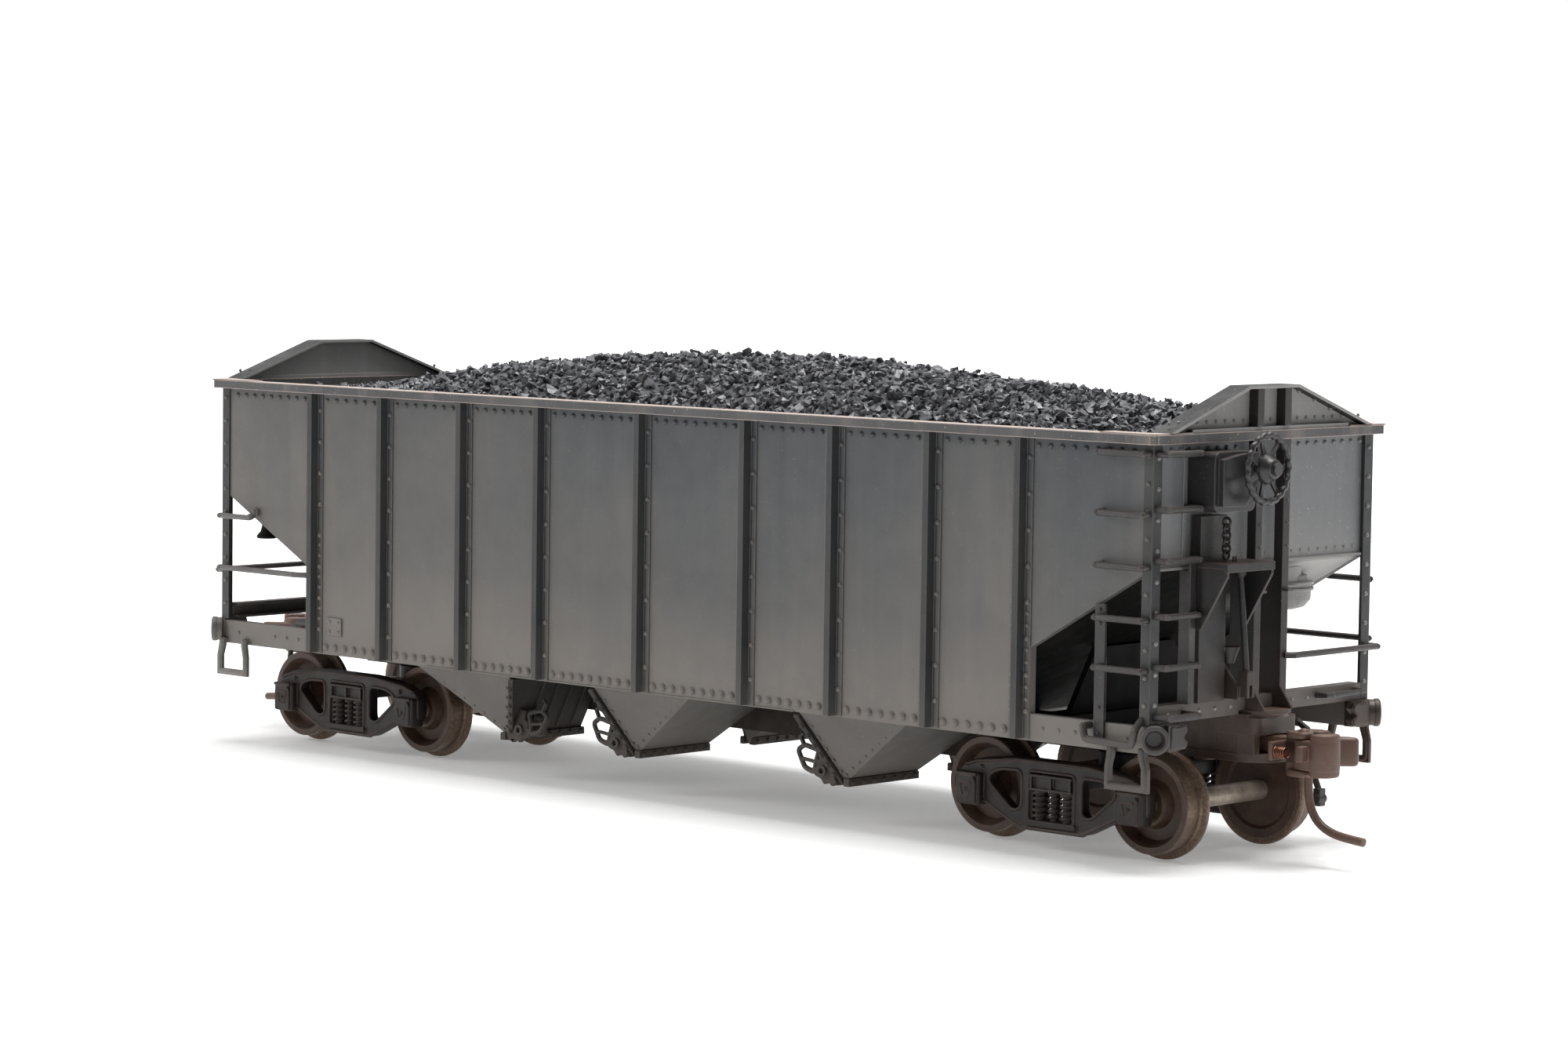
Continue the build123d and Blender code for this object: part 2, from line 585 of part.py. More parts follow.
def brake_wheel():
    x, y, z = BRAKE_WHEEL
    ring = Pos(x, y, z) * Rot(0, 90, 0) * Torus(3.25, 0.36)
    web = disc((x - 0.35, y, z), (1, 0, 0), 3.2, 0.5)
    dome = tapered((x - 0.35, y, z), (1, 0, 0), 1.5, 0.95, 1.25)
    for k in range(7):
        a = math.radians(360 / 7 * k + 12)
        hole = disc((x - 1.0, y + 2.2 * math.cos(a), z + 2.2 * math.sin(a)), (1, 0, 0), 0.74, 2.4)
        web = web - hole
    body = ring + web + dome
    return body - disc((x - 2, y, z), (1, 0, 0), 0.5 + RUN_FIT, 4.0)


def chain(x, y, z_low, count):
    links = []
    for k in range(count):
        spin = Rot(90, 0, 0) if k % 2 else Rot(0, 90, 0)
        links.append(Pos(x, y, z_low + 0.62 * k) * spin * Torus(0.42, 0.13))
    return links


def brake_lever():
    rod = wire_rod([(69.6, -6.3, 28.0), (69.9, -5.5, 18.6)], 0.3)
    clevis = block(69.4, 70.5, -6.1, -5.0, 16.2, 18.7)
    clevis = clevis - block(69.0, 71.5, -5.75, -5.3, 16.0, 17.4)
    top_eye = Pos(69.6, -6.3, 28.2) * Sphere(0.6)
    return rod + clevis + top_eye


def bell_crank():
    bracket = plate_xz([(66.2, 16.0), (69.6, 16.0), (69.6, 17.2), (67.4, 19.6), (66.2, 19.6)], -6.4, -6.0)
    funnel = tapered((68.4, -6.2, 19.4), (0, 0, 1), 0.45, 1.0, 1.6)
    return bracket + funnel


def air_hose():
    bends = [(68.4, 4.9, 12.9), (69.5, 4.9, 12.3), (69.9, 4.9, 10.6), (70.2, 4.9, 8.4), (71.0, 4.9, 6.6)]
    hose = wire_rod(bends, 0.32)
    coupling = block(70.7, 71.5, 4.45, 5.35, 5.0, 6.7)
    knob = disc((71.1, 4.3, 5.7), (0, 1, 0), 0.5, 1.2)
    pipe = wire_rod([(66.4, 4.9, 13.0), (68.5, 4.9, 12.9)], 0.42)
    return hose + coupling + knob + pipe


save("brake_platform", brake_platform())
save("brake_housing", brake_housing())
save("brake_wheel", brake_wheel())
save("brake_rigging", brake_post(), *chain(69.6, -8.6, 29.9, 6), brake_lever(), bell_crank())
save("air_hose_b", air_hose())
save("air_hose_a", turn(air_hose()))


# ------------------------------------------------------------------ air brake bodies under the slopes
def above_cut(shape, x, end):
    # takes away what would stand above the underside of the slope sheet
    line = [
        (x - 6, slope_z(x - 6, end) - 0.02), (x + 6, slope_z(x + 6, end) - 0.02),
        (x + 6, 40), (x - 6, 40),
    ]
    return shape - plate_xz(line, 0, 16)


def reservoir():
    x, y = 62.9, 7.6
    body = disc((x, y, 24.3), (0, 0, 1), 3.0, 1.1)
    body = body + tapered((x, y, 23.7), (0, 0, 1), 2.6, 3.0, 0.62)
    flange = disc((x, y, 25.35), (0, 0, 1), 3.2, 0.25) + disc((x, y, 25.75), (0, 0, 1), 3.2, 0.25)
    upper = disc((x, y, 25.3), (0, 0, 1), 2.8, 3.5)
    return above_cut(body + flange + upper, x, "b")


def control_valve():
    x, y = -62.6, 13.6
    body = tapered((x, y, 22.0), (0, 0, 1), 1.7, 0.8, 1.9)
    body = body + disc((x, y, 21.7), (0, 0, 1), 1.7, 0.35) + disc((x, y, 23.8), (0, 0, 1), 1.0, 4.0)
    return above_cut(body, x, "a")


save("air_tank_b", reservoir())
save("air_valve_a", control_valve())


# ------------------------------------------------------------------ ladders, grab irons, steps
def ladder_corner():
    items = []
    side_y = -18.2
    for z in (39.6, 33.9, 28.95, 24.0, 19.25):
        foot = -SIDE_Y if z > 27 else -SIDE_Y - 0.3
        rung = [(61.6, foot - 0.02, z), (61.6, side_y, z), (67.1, side_y, z), (67.1, -SIDE_Y - 0.22, z)]
        items.append(wire_rod(rung, WIRE_R))
    stile = block(61.0, 62.2, -SIDE_Y - 0.3, -SIDE_Y - 0.02, 12.0, 25.2)
    stile = stile + block(61.0, 61.3, -SIDE_Y - 0.3, -SIDE_Y + 1.2, 14.05, 20.0)
    items.append(stile)
    end_x = 69.0
    for z in (39.6, 34.4, 29.6, 24.4, 19.6):
        back = END_X + 0.02 if z > 30 else 68.52
        rung = [(CORNER_X + 0.02, -16.7, z), (end_x, -16.7, z), (end_x, -12.0, z), (back, -12.0, z)]
        items.append(wire_rod(rung, WIRE_R))
    leg = block(68.2, 68.5, -12.6, -11.75, 15.92, 29.9)
    leg = leg + block(67.2, 68.5, -12.6, -12.3, 15.92, END_Z - 0.1)
    items.append(leg)
    drop = [
        (60.4, -SIDE_Y - 0.02, 13.6), (60.4, -18.2, 13.6), (60.6, -18.2, 12.4),
        (66.3, -18.2, 12.2), (66.7, -18.2, 13.9), (66.7, -SIDE_Y - 0.22, 14.6),
    ]
    items.append(wire_rod(drop, WIRE_R))
    sill_grab = [(CORNER_X + 0.02, -16.5, 14.9), (69.5, -16.5, 14.9), (69.5, -12.2, 14.9), (67.62, -12.2, 14.9)]
    items.append(wire_rod(sill_grab, WIRE_R))
    return items


def grab_corner():
    items = []
    side_y = 18.2
    paths = [
        [(66.9, SIDE_Y + 0.22, 26.0), (66.9, side_y, 26.0), (61.6, side_y, 26.0), (61.6, SIDE_Y + 0.02, 26.6)],
        [(66.9, SIDE_Y + 0.22, 20.1), (66.9, side_y, 20.1), (53.6, side_y, 20.1), (52.5, SIDE_Y + 0.5, 20.1)],
        [(CORNER_X + 0.02, 16.5, 19.6), (69.2, 16.5, 19.6), (69.2, 2.9, 19.6), (68.52, 2.35, 19.6)],
        [(67.62, 15.0, 15.2), (68.9, 15.0, 15.2), (68.9, 8.8, 15.2), (67.62, 8.8, 15.2)],
    ]
    for path in paths:
        items.append(wire_rod(path, WIRE_R))
    return items


ladders = ladder_corner()
grabs = grab_corner()
save("grab_irons_b", *ladders, *grabs)
save("grab_irons_a", *[turn(i) for i in ladders + grabs])


def corner_step():
    y0 = -SIDE_Y - 0.62
    y1 = -SIDE_Y - 0.22
    legs = plate_xz([(62.9, 12.0), (63.7, 12.0), (63.7, 11.2), (63.4, 10.0), (63.4, 8.5), (67.1, 8.5), (67.1, 10.0),
                     (66.7, 11.2), (66.7, 12.0), (67.5, 12.0), (67.6, 11.2), (67.9, 10.0), (67.9, 7.8), (62.7, 7.8),
                     (62.7, 10.0), (62.9, 11.2)], y0, y1)
    pads = block(62.9, 63.7, y1 - 0.05, -SIDE_Y - 0.02, 11.45, 12.0)
    pads = pads + block(66.7, 67.3, y1 - 0.05, -SIDE_Y - 0.02, 11.45, 12.0)
    return legs + pads


def poling_pocket():
    block_body = block(67.3, 68.3, -SIDE_Y - 0.1, -13.9, 11.7, 14.2)
    cup_axis = (0.7071, -0.7071, 0)
    cup = disc((67.9, -16.9, 12.9), cup_axis, 1.3, 1.0)
    bore = tapered((67.9 + 0.25, -16.9 - 0.25, 12.9), cup_axis, 0.7, 1.0, 0.7)
    star = plate_yz([(-15.9, 11.7), (-14.6, 11.7), (-13.3, 11.9), (-13.0, 12.4), (-13.7, 12.9), (-13.0, 13.6),
                     (-13.3, 14.1), (-15.9, 14.18)], 68.2, 68.9)
    whole = block_body + cup + star
    return whole - bore


step = corner_step()
pocket = poling_pocket()
save("corner_irons_bl", step, pocket)
save("corner_irons_br", flip_y(step), flip_y(pocket))
save("corner_irons_ar", turn(step), turn(pocket))
save("corner_irons_al", turn(flip_y(step)), turn(flip_y(pocket)))


# ------------------------------------------------------------------ removable load
def load_section(x, peak, half):
    low = LEDGE_Z + 0.02
    rim = 40.9
    shoulder = rim + (peak - rim) * 0.62
    profile = [(-half, low), (half, low), (half, rim), (half * 0.6, shoulder), (half * 0.2, peak), (-half * 0.2, peak),
               (-half * 0.6, shoulder), (-half, rim)]
    return Wire.make_polygon([Vector(x, y, z) for y, z in profile], close=True)


LOAD_LINE = [
    (-65.7, 41.0), (-58.0, 41.5), (-45.0, 42.4), (-32.0, 44.4), (-20.0, 45.5), (-8.0, 46.2),
    (15.0, 46.4), (27.0, 45.4), (37.0, 44.6), (47.0, 44.0), (57.0, 42.6), (65.7, 41.0),
]
load = None
for (xa, za), (xb, zb) in zip(LOAD_LINE[:-1], LOAD_LINE[1:]):
    piece = Solid.make_loft([load_section(xa, za, 16.0), load_section(xb, zb, 16.0)], ruled=True)
    load = piece if load is None else load + piece
save("coal_load", load)
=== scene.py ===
"""A model hopper car with a coal load: camera, paints, fine pieces over the CAD bodies, and light.

Shapes are in mm until MM turns them into metres; shaders, camera and lamps are in metres. +X points
to end B, with the brake wheel, and -Y to the near side. Most pieces are made for the near side or
end B, then turned or flipped.
"""
import math
import random

import bmesh
import bpy
import numpy as np
from mathutils import Matrix, Vector, noise


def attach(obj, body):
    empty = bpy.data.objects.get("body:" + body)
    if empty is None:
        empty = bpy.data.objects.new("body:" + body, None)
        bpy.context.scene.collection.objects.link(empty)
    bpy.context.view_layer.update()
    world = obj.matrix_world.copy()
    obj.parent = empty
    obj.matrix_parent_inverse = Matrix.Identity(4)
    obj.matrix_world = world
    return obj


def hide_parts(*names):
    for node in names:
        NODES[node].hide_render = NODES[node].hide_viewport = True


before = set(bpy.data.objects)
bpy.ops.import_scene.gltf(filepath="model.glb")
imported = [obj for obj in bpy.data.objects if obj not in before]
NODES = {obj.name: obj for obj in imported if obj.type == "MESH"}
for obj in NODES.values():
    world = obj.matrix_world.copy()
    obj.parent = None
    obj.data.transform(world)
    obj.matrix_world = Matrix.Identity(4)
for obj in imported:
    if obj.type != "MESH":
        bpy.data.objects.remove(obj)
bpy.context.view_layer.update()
MM = 0.001

NEAR = (0, -1, 0)
FAR = (0, 1, 0)
TO_B = (1, 0, 0)
UP = (0, 0, 1)

POST_X = (-51.6, -40.0, -27.2, -15.1, 0.0, 15.1, 27.2, 40.0, 51.6)
END_X = 67.0             # corner posts at either end
SIDE_Y = 17.1            # outer face of the side sheets
SILL_Z = 11.4            # bottom edge of the side sheets
TRUCK_X = 51.7
AXLE_HALF = 10.2         # half the distance between the axles of a truck
AXLE_Z = 5.45
WHEEL_X = (-TRUCK_X - AXLE_HALF, -TRUCK_X + AXLE_HALF, TRUCK_X - AXLE_HALF, TRUCK_X + AXLE_HALF)
BRAKE_WHEEL = (72.4, -6.1, 38.1)     # its centre
OUTLET_Z = 4.5           # bottom edge of the hopper doors
# hopper bays: x of the door top, of the outlet edge and of the slope top; +1 when the door looks to -X
BAYS = ((-19.8, -23.5, -34.4, -1), (-6.9, -4.0, 7.1, 1), (22.7, 25.8, 37.0, 1))


def add_object(name, data):
    obj = bpy.data.objects.new(name, data)
    bpy.context.scene.collection.objects.link(obj)
    return obj


# -------- camera
CAMERA_TURN = (43.273, 4.202, 0.773)     # yaw, pitch and roll, degrees
CAMERA_PLACE = (0.326116, -0.342011, 0.063212)


def place_camera():
    yaw, pitch, roll = (math.radians(angle) for angle in CAMERA_TURN)
    back = Vector((math.sin(yaw) * math.cos(pitch), -math.cos(yaw) * math.cos(pitch), math.sin(pitch)))
    right = Vector((math.cos(yaw), math.sin(yaw), 0))
    up = back.cross(right)
    cam_x = math.cos(roll) * right + math.sin(roll) * up
    cam_y = -math.sin(roll) * right + math.cos(roll) * up
    camera = bpy.data.cameras.new("camera")
    camera.sensor_width = 36.0
    camera.lens = 102.17
    camera.clip_start = 0.01
    obj = add_object("camera", camera)
    turn = Matrix((cam_x, cam_y, back)).transposed().to_4x4()
    obj.matrix_world = Matrix.Translation(CAMERA_PLACE) @ turn
    bpy.context.scene.camera = obj


place_camera()


# -------- materials
class Shader:
    """A material or world under construction: add() makes a node and sets or links its inputs."""

    def __init__(self, name, world=False):
        self.owner = (bpy.data.worlds if world else bpy.data.materials).new(name)
        self.owner.use_nodes = True
        self.tree = self.owner.node_tree
        self.tree.nodes.clear()
        self.out = self.add("OutputWorld" if world else "OutputMaterial")
        self.coord = self.add("TexCoord")

    def add(self, kind, inputs=(), **props):
        node = self.tree.nodes.new("ShaderNode" + kind)
        for key, value in props.items():
            setattr(node, key, value)
        for key, value in dict(inputs).items():
            self.put(node.inputs[key], value)
        return node

    def put(self, socket, value):
        if isinstance(value, bpy.types.NodeSocket):
            self.tree.links.new(value, socket)
        else:
            socket.default_value = value

    def math(self, op, a, b=0.0, clamp=False):
        node = self.add("Math", operation=op, use_clamp=clamp)
        for socket, value in zip(node.inputs, (a, b)):
            self.put(socket, value)
        return node.outputs[0]

    def plus(self, a, b, clamp=False):
        return self.math("ADD", a, b, clamp)

    def minus(self, a, b):
        return self.math("SUBTRACT", a, b)

    def times(self, a, b):
        return self.math("MULTIPLY", a, b)

    def noise(self, scale, detail=4.0, rough=0.6, stretch=None):
        vector = self.coord.outputs["Object"]
        if stretch:
            vector = self.add("Mapping", {"Vector": vector, "Scale": stretch}).outputs[0]
        node = self.add("TexNoise", {"Vector": vector, "Scale": scale, "Detail": detail, "Roughness": rough})
        return node.outputs["Fac"]

    def ramp(self, value, low, high, to_low=0.0, to_high=1.0):
        node = self.add("MapRange", {"Value": value, "From Min": low, "From Max": high,
                                     "To Min": to_low, "To Max": to_high})
        return node.outputs[0]

    def mix(self, fac, a, b):
        node = self.add("Mix", data_type="RGBA")
        self.put(node.inputs[0], fac)
        for place, value in ((6, a), (7, b)):
            linked = isinstance(value, bpy.types.NodeSocket)
            self.put(node.inputs[place], value if linked else (*value, 1))
        return node.outputs[2]

    def axis(self, name, which="Object"):
        return self.add("SeparateXYZ", {0: self.coord.outputs[which]}).outputs[name]

    def edges(self, radius):
        """About 1 along convex and concave edges and 0 on flat faces, then the softened normal."""
        bevel = self.add("Bevel", {"Radius": radius}, samples=4)
        plain = self.add("NewGeometry").outputs["Normal"]
        dot = self.add("VectorMath", {0: bevel.outputs[0], 1: plain},
                       operation="DOT_PRODUCT").outputs["Value"]
        return self.ramp(dot, 0.995, 0.85), bevel.outputs[0]

    def finish(self, color, rough, bump=None, strength=0.3, distance=0.00004, normal=None, **fixed):
        surface = self.add("BsdfPrincipled", {"Base Color": color, "Roughness": rough})
        for key, value in fixed.items():
            self.put(surface.inputs[key.replace("_", " ")], value)
        if bump is not None:
            lift = {"Height": bump, "Strength": strength, "Distance": distance}
            if normal is not None:
                lift["Normal"] = normal
            self.put(surface.inputs["Normal"], self.add("Bump", lift).outputs[0])
        self.put(self.out.inputs[0], surface.outputs[0])
        return self.owner


def post_distance(s, more=()):
    """Distance along X to the nearest side post, or to the nearest of the places in more."""
    x = s.axis("X")
    nearest = None
    for post in POST_X + tuple(more):
        gap = s.math("ABSOLUTE", s.minus(x, post * MM))
        nearest = gap if nearest is None else s.math("MINIMUM", nearest, gap)
    return nearest


def weathered_and_painted_light(name, paint, dust, low=(0.010, 0.024), panel_dust_and_painted_falloff=False, wear=0.45, top=0.6, speckle=0.5,
              patchy=0.35, rough=(0.50, 0.70), gloss=0.5, dusty_to_b=False, painted_floor_reflection=None, flange=None):
    """Flat paint under dust: more of it low down, on top faces, in patches and along edges.

    low is the pair of heights between which the dust fades out. The panel flag adds dust beside the posts,
    more dust lower on the sheet, and a painted light falloff: lighter away from x = 12 mm, most toward end
    A, with the last panel at end B darker as painted shade. dusty_to_b adds coal dust on the faces that look
    to +X. The far outer corner of slope B takes the floor reflection tone, a painted reflection of the
    bright floor. flange is the pair of tones, high and low, of the feet of the posts.
    """
    s = Shader(name)
    z = s.axis("Z")
    patches = s.noise(70.0, 5.0)
    grain = s.noise(420.0, 6.0, 0.65)
    fine = s.noise(3600.0, 3.0, 0.7)
    streak = s.noise(260.0, 4.0, 0.6, stretch=(1.0, 1.0, 0.07))
    amount = s.ramp(z, low[1], low[0], 0.0, 0.80)
    amount = s.times(amount, s.ramp(grain, 0.30, 0.70, 0.55, 1.25))
    amount = s.plus(amount, s.ramp(patches, 0.40, 0.75, 0.0, patchy))
    amount = s.plus(amount, s.ramp(streak, 0.50, 0.80, 0.0, 0.22))
    if panel_dust_and_painted_falloff:
        x = s.axis("X")
        beside = s.ramp(post_distance(s, (-END_X, END_X)), 0.0050, 0.0008, 0.0, 0.16)
        amount = s.plus(amount, s.times(beside, s.ramp(patches, 0.3, 0.7, 0.3, 1.1)))
        # painted light falloff: the side sheets lighter away from x = 12 mm, most toward end A, and the last
        # panel at end B darker as painted shade
        painted_falloff = s.ramp(s.math("ABSOLUTE", s.minus(x, 0.012)), 0.012, 0.062, 0.0, 0.34)
        painted_falloff = s.minus(painted_falloff, s.ramp(x, 0.0505, 0.0545, 0.0, 0.22))
        height = s.ramp(z, 0.040, 0.020, 0.0, 0.34)
        amount = s.plus(amount, s.plus(painted_falloff, height))
    up = s.times(s.ramp(s.axis("Z", "Normal"), 0.5, 1.0), top)
    amount = s.plus(amount, s.times(up, s.ramp(grain, 0.3, 0.6, 0.6, 1.2)), clamp=True)
    if dusty_to_b:
        amount = s.plus(amount, s.ramp(s.axis("X", "Normal"), 0.3, 0.9, 0.0, 0.80), clamp=True)
    color = s.mix(amount, paint, dust)
    if flange:
        gap = post_distance(s)
        beyond = s.times(s.ramp(gap, 0.00072, 0.00084), s.ramp(gap, 0.0016, 0.0014))
        color = s.mix(beyond, color, s.mix(s.ramp(z, 0.040, 0.016), *flange))
    # painted reflection: the far outer corner of slope B made pale, as if lit by the bright floor below it
    if painted_floor_reflection:
        corner = s.times(s.ramp(s.axis("Y"), 0.003, 0.008), s.ramp(s.axis("X"), 0.056, 0.064))
        color = s.mix(corner, color, painted_floor_reflection)
    edge, rounded = s.edges(0.00016)
    color = s.mix(s.times(edge, wear), color, tuple(min(1.0, 1.7 * c) for c in dust))
    dots = s.ramp(fine, 0.64, 0.74, 0.0, speckle)
    color = s.mix(dots, color, tuple(min(1.0, 2.1 * c) for c in dust))
    rough = s.ramp(grain, 0.3, 0.7, *rough)
    relief = s.plus(s.times(fine, 0.6), s.times(grain, 0.5))
    return s.finish(color, rough, relief, 0.35, 0.00004, rounded, Specular_IOR_Level=gloss)


def coal_material():
    s = Shader("coal")
    tone = s.noise(900.0, 3.0, 0.6)
    fine = s.noise(5200.0, 4.0, 0.7)
    color = s.mix(s.ramp(tone, 0.35, 0.7), (0.042, 0.042, 0.047), (0.150, 0.152, 0.164))
    color = s.mix(s.ramp(fine, 0.68, 0.76, 0.0, 0.4), color, (0.12, 0.12, 0.13))
    rough = s.ramp(s.noise(1500.0, 2.0), 0.35, 0.65, 0.22, 0.46)
    return s.finish(color, rough, fine, 0.4, 0.00005)


def wheel_material(number, x):
    """Rusty faces, with a worn bright ring on the tread and flange."""
    s = Shader("wheel_%d" % number)
    dx = s.minus(s.axis("X"), x * MM)
    dz = s.minus(s.axis("Z"), AXLE_Z * MM)
    radius = s.math("SQRT", s.plus(s.times(dx, dx), s.times(dz, dz)))
    grain = s.noise(600.0, 5.0, 0.65)
    fine = s.noise(3200.0, 3.0, 0.7)
    rust = s.mix(s.ramp(grain, 0.35, 0.7), (0.040, 0.021, 0.014), (0.095, 0.052, 0.034))
    ring = s.ramp(s.plus(radius, s.times(grain, 0.00003)), 0.00473, 0.00478)
    worn = s.mix(s.ramp(fine, 0.35, 0.75), (0.105, 0.070, 0.050), (0.210, 0.150, 0.110))
    color = s.mix(ring, rust, worn)
    rough = s.minus(s.ramp(grain, 0.3, 0.7, 0.42, 0.58), s.times(ring, 0.14))
    metal = s.times(ring, 0.6)
    return s.finish(color, rough, s.plus(fine, grain), 0.14, 0.00002, Metallic=metal)


def metal_material(name, dark, light, rough=(0.35, 0.55), metallic=0.9, scale=500.0):
    s = Shader(name)
    grain = s.noise(scale, 5.0, 0.65)
    fine = s.noise(4200.0, 3.0, 0.7)
    color = s.mix(s.ramp(grain, 0.35, 0.7), dark, light)
    return s.finish(color, s.ramp(fine, 0.3, 0.7, *rough), fine, 0.25, 0.00003, Metallic=metallic)


CLEAN = (0.0, 0.001)      # the dust fades out at once

PAINTS = {
    "side": dict(paint=(0.047, 0.053, 0.061), dust=(0.162, 0.147, 0.132), low=(0.009, 0.022), panel_dust_and_painted_falloff=True,
                 speckle=0.25, patchy=0.18, wear=0.25),
    "post": dict(paint=(0.020, 0.022, 0.025), dust=(0.105, 0.092, 0.080), low=(0.005, 0.018), speckle=0.2,
                 patchy=0.12, wear=0.7, rough=(0.40, 0.60),
                 flange=((0.056, 0.060, 0.066), (0.108, 0.102, 0.096))),
    "end": dict(paint=(0.136, 0.142, 0.150), dust=(0.310, 0.290, 0.270), low=(0.014, 0.034), patchy=0.15,
                rough=(0.40, 0.58)),
    "sill": dict(paint=(0.046, 0.046, 0.048), dust=(0.135, 0.115, 0.100), low=(0.014, 0.034), patchy=0.15,
                 rough=(0.45, 0.62)),
    "under": dict(paint=(0.090, 0.083, 0.078), dust=(0.165, 0.145, 0.128), low=(0.003, 0.010),
                  patchy=0.3),
    "door": dict(paint=(0.016, 0.015, 0.015), dust=(0.085, 0.070, 0.060), low=(0.003, 0.010), patchy=0.2,
                 gloss=0.35),
    # inner and slope: the dark paint made near black, as painted shade for the hollows under the car; slope
    # also carries the painted floor reflection on the far outer corner of slope B
    "inner": dict(paint=(0.008, 0.008, 0.009), dust=(0.060, 0.050, 0.043), low=(0.007, 0.012),
                  patchy=0.08, top=0.15, speckle=0.3, rough=(0.50, 0.70), gloss=0.10),
    "slope": dict(paint=(0.005, 0.005, 0.005), dust=(0.040, 0.034, 0.030), low=(0.007, 0.012),
                  patchy=0.05, top=0.15, speckle=0.2, rough=(0.60, 0.80), gloss=0.05,
                  painted_floor_reflection=(0.420, 0.415, 0.405)),
    # chord: pale dust on its top face and lighter worn edges, partly dust and partly a painted highlight
    # along its rounded top edge
    "chord": dict(paint=(0.056, 0.056, 0.059), dust=(0.450, 0.375, 0.330), low=CLEAN, top=1.1,
                  wear=0.8, patchy=0.1),
    "shield": dict(paint=(0.016, 0.016, 0.017), dust=(0.300, 0.295, 0.290), low=CLEAN, top=0.10,
                   patchy=0.08, wear=0.3, rough=(0.60, 0.80), gloss=0.25, dusty_to_b=True),
    "iron": dict(paint=(0.020, 0.020, 0.022), dust=(0.110, 0.090, 0.077), low=(0.004, 0.016), wear=0.5,
                 top=0.5, patchy=0.12, rough=(0.35, 0.55)),
    "iron_a": dict(paint=(0.085, 0.082, 0.078), dust=(0.210, 0.190, 0.170), low=(0.004, 0.016), wear=0.5,
                   top=0.6, patchy=0.15, rough=(0.40, 0.60)),
    "brake": dict(paint=(0.016, 0.016, 0.018), dust=(0.085, 0.072, 0.064), low=CLEAN, wear=0.55,
                  top=0.7, patchy=0.15, rough=(0.28, 0.48)),
    "brown": dict(paint=(0.012, 0.012, 0.013), dust=(0.088, 0.058, 0.045), low=(0.008, 0.022), wear=0.5,
                  top=0.6, patchy=0.10, rough=(0.35, 0.55), gloss=0.4),
    "truck": dict(paint=(0.010, 0.007, 0.006), dust=(0.062, 0.041, 0.032), low=(0.0005, 0.003), wear=0.7,
                  top=0.5, speckle=0.25, patchy=0.2, rough=(0.38, 0.58), gloss=0.4),
    "coupler": dict(paint=(0.095, 0.050, 0.036), dust=(0.200, 0.120, 0.086), low=CLEAN, wear=0.5,
                    top=0.4, speckle=0.3, rough=(0.38, 0.58)),
    "draft": dict(paint=(0.034, 0.020, 0.014), dust=(0.145, 0.092, 0.070), low=CLEAN, wear=0.4,
                  top=0.8, speckle=0.3, rough=(0.38, 0.58)),
    "hose": dict(paint=(0.012, 0.011, 0.011), dust=(0.070, 0.050, 0.040), low=CLEAN, wear=0.4,
                 top=0.5, rough=(0.35, 0.55)),
    "drum": dict(paint=(0.180, 0.178, 0.176), dust=(0.400, 0.390, 0.375), low=CLEAN, wear=0.3,
                 patchy=0.5, rough=(0.30, 0.45)),
}

MATERIALS = {key: weathered_and_painted_light(key + "_weathered", **look) for key, look in PAINTS.items()}
MATERIALS.update({
    "coal": coal_material(),
    "steel": metal_material("axle_steel", (0.30, 0.245, 0.195), (0.60, 0.52, 0.45), metallic=0.7),
    "screw": metal_material("screw_steel", (0.12, 0.11, 0.10), (0.28, 0.26, 0.24)),
    "copper": metal_material("spring_copper", (0.100, 0.042, 0.028), (0.270, 0.120, 0.075),
                             (0.30, 0.50), 0.8),
})

# the paint of each CAD node, by the first of these that its name starts with
NODE_PAINT = {
    "corner_irons_br": "brown", "corner_irons_al": "iron_a", "grab_irons_a": "iron_a",
    "slope_sheet_b": "slope", "draft_box_a": "truck", "side_sheet": "side", "side_posts": "post",
    "top_chord": "chord", "heap_shield": "shield", "end_sheet": "end", "end_sill": "sill",
    "end_posts": "brown", "slope_sheet": "inner", "floor_ridges": "inner", "centre_sill": "inner",
    "bolster": "inner", "air_valve": "inner", "air_tank": "drum", "air_hose": "hose",
    "hopper_bay": "under", "hopper_doors": "door", "brake_rigging": "brown", "brake_platform": "brown",
    "brake_housing": "brake", "brake_wheel": "brake", "grab_irons": "iron", "corner_irons": "iron",
    "truck_frame": "truck", "draft_box": "draft", "coupler": "coupler", "knuckle_spring": "copper",
    "knuckle": "coupler", "axle": "steel", "kingpin": "screw", "coal": "coal",
}


def cad_material(name):
    if name.startswith("wheels_"):
        number = int(name[-1])
        return wheel_material(number, WHEEL_X[number - 1])
    return MATERIALS[next(key for stem, key in NODE_PAINT.items() if name.startswith(stem))]


for name, obj in NODES.items():
    chosen = cad_material(name)
    if not obj.material_slots:
        obj.data.materials.append(chosen)
    for place in obj.material_slots:
        place.material = chosen


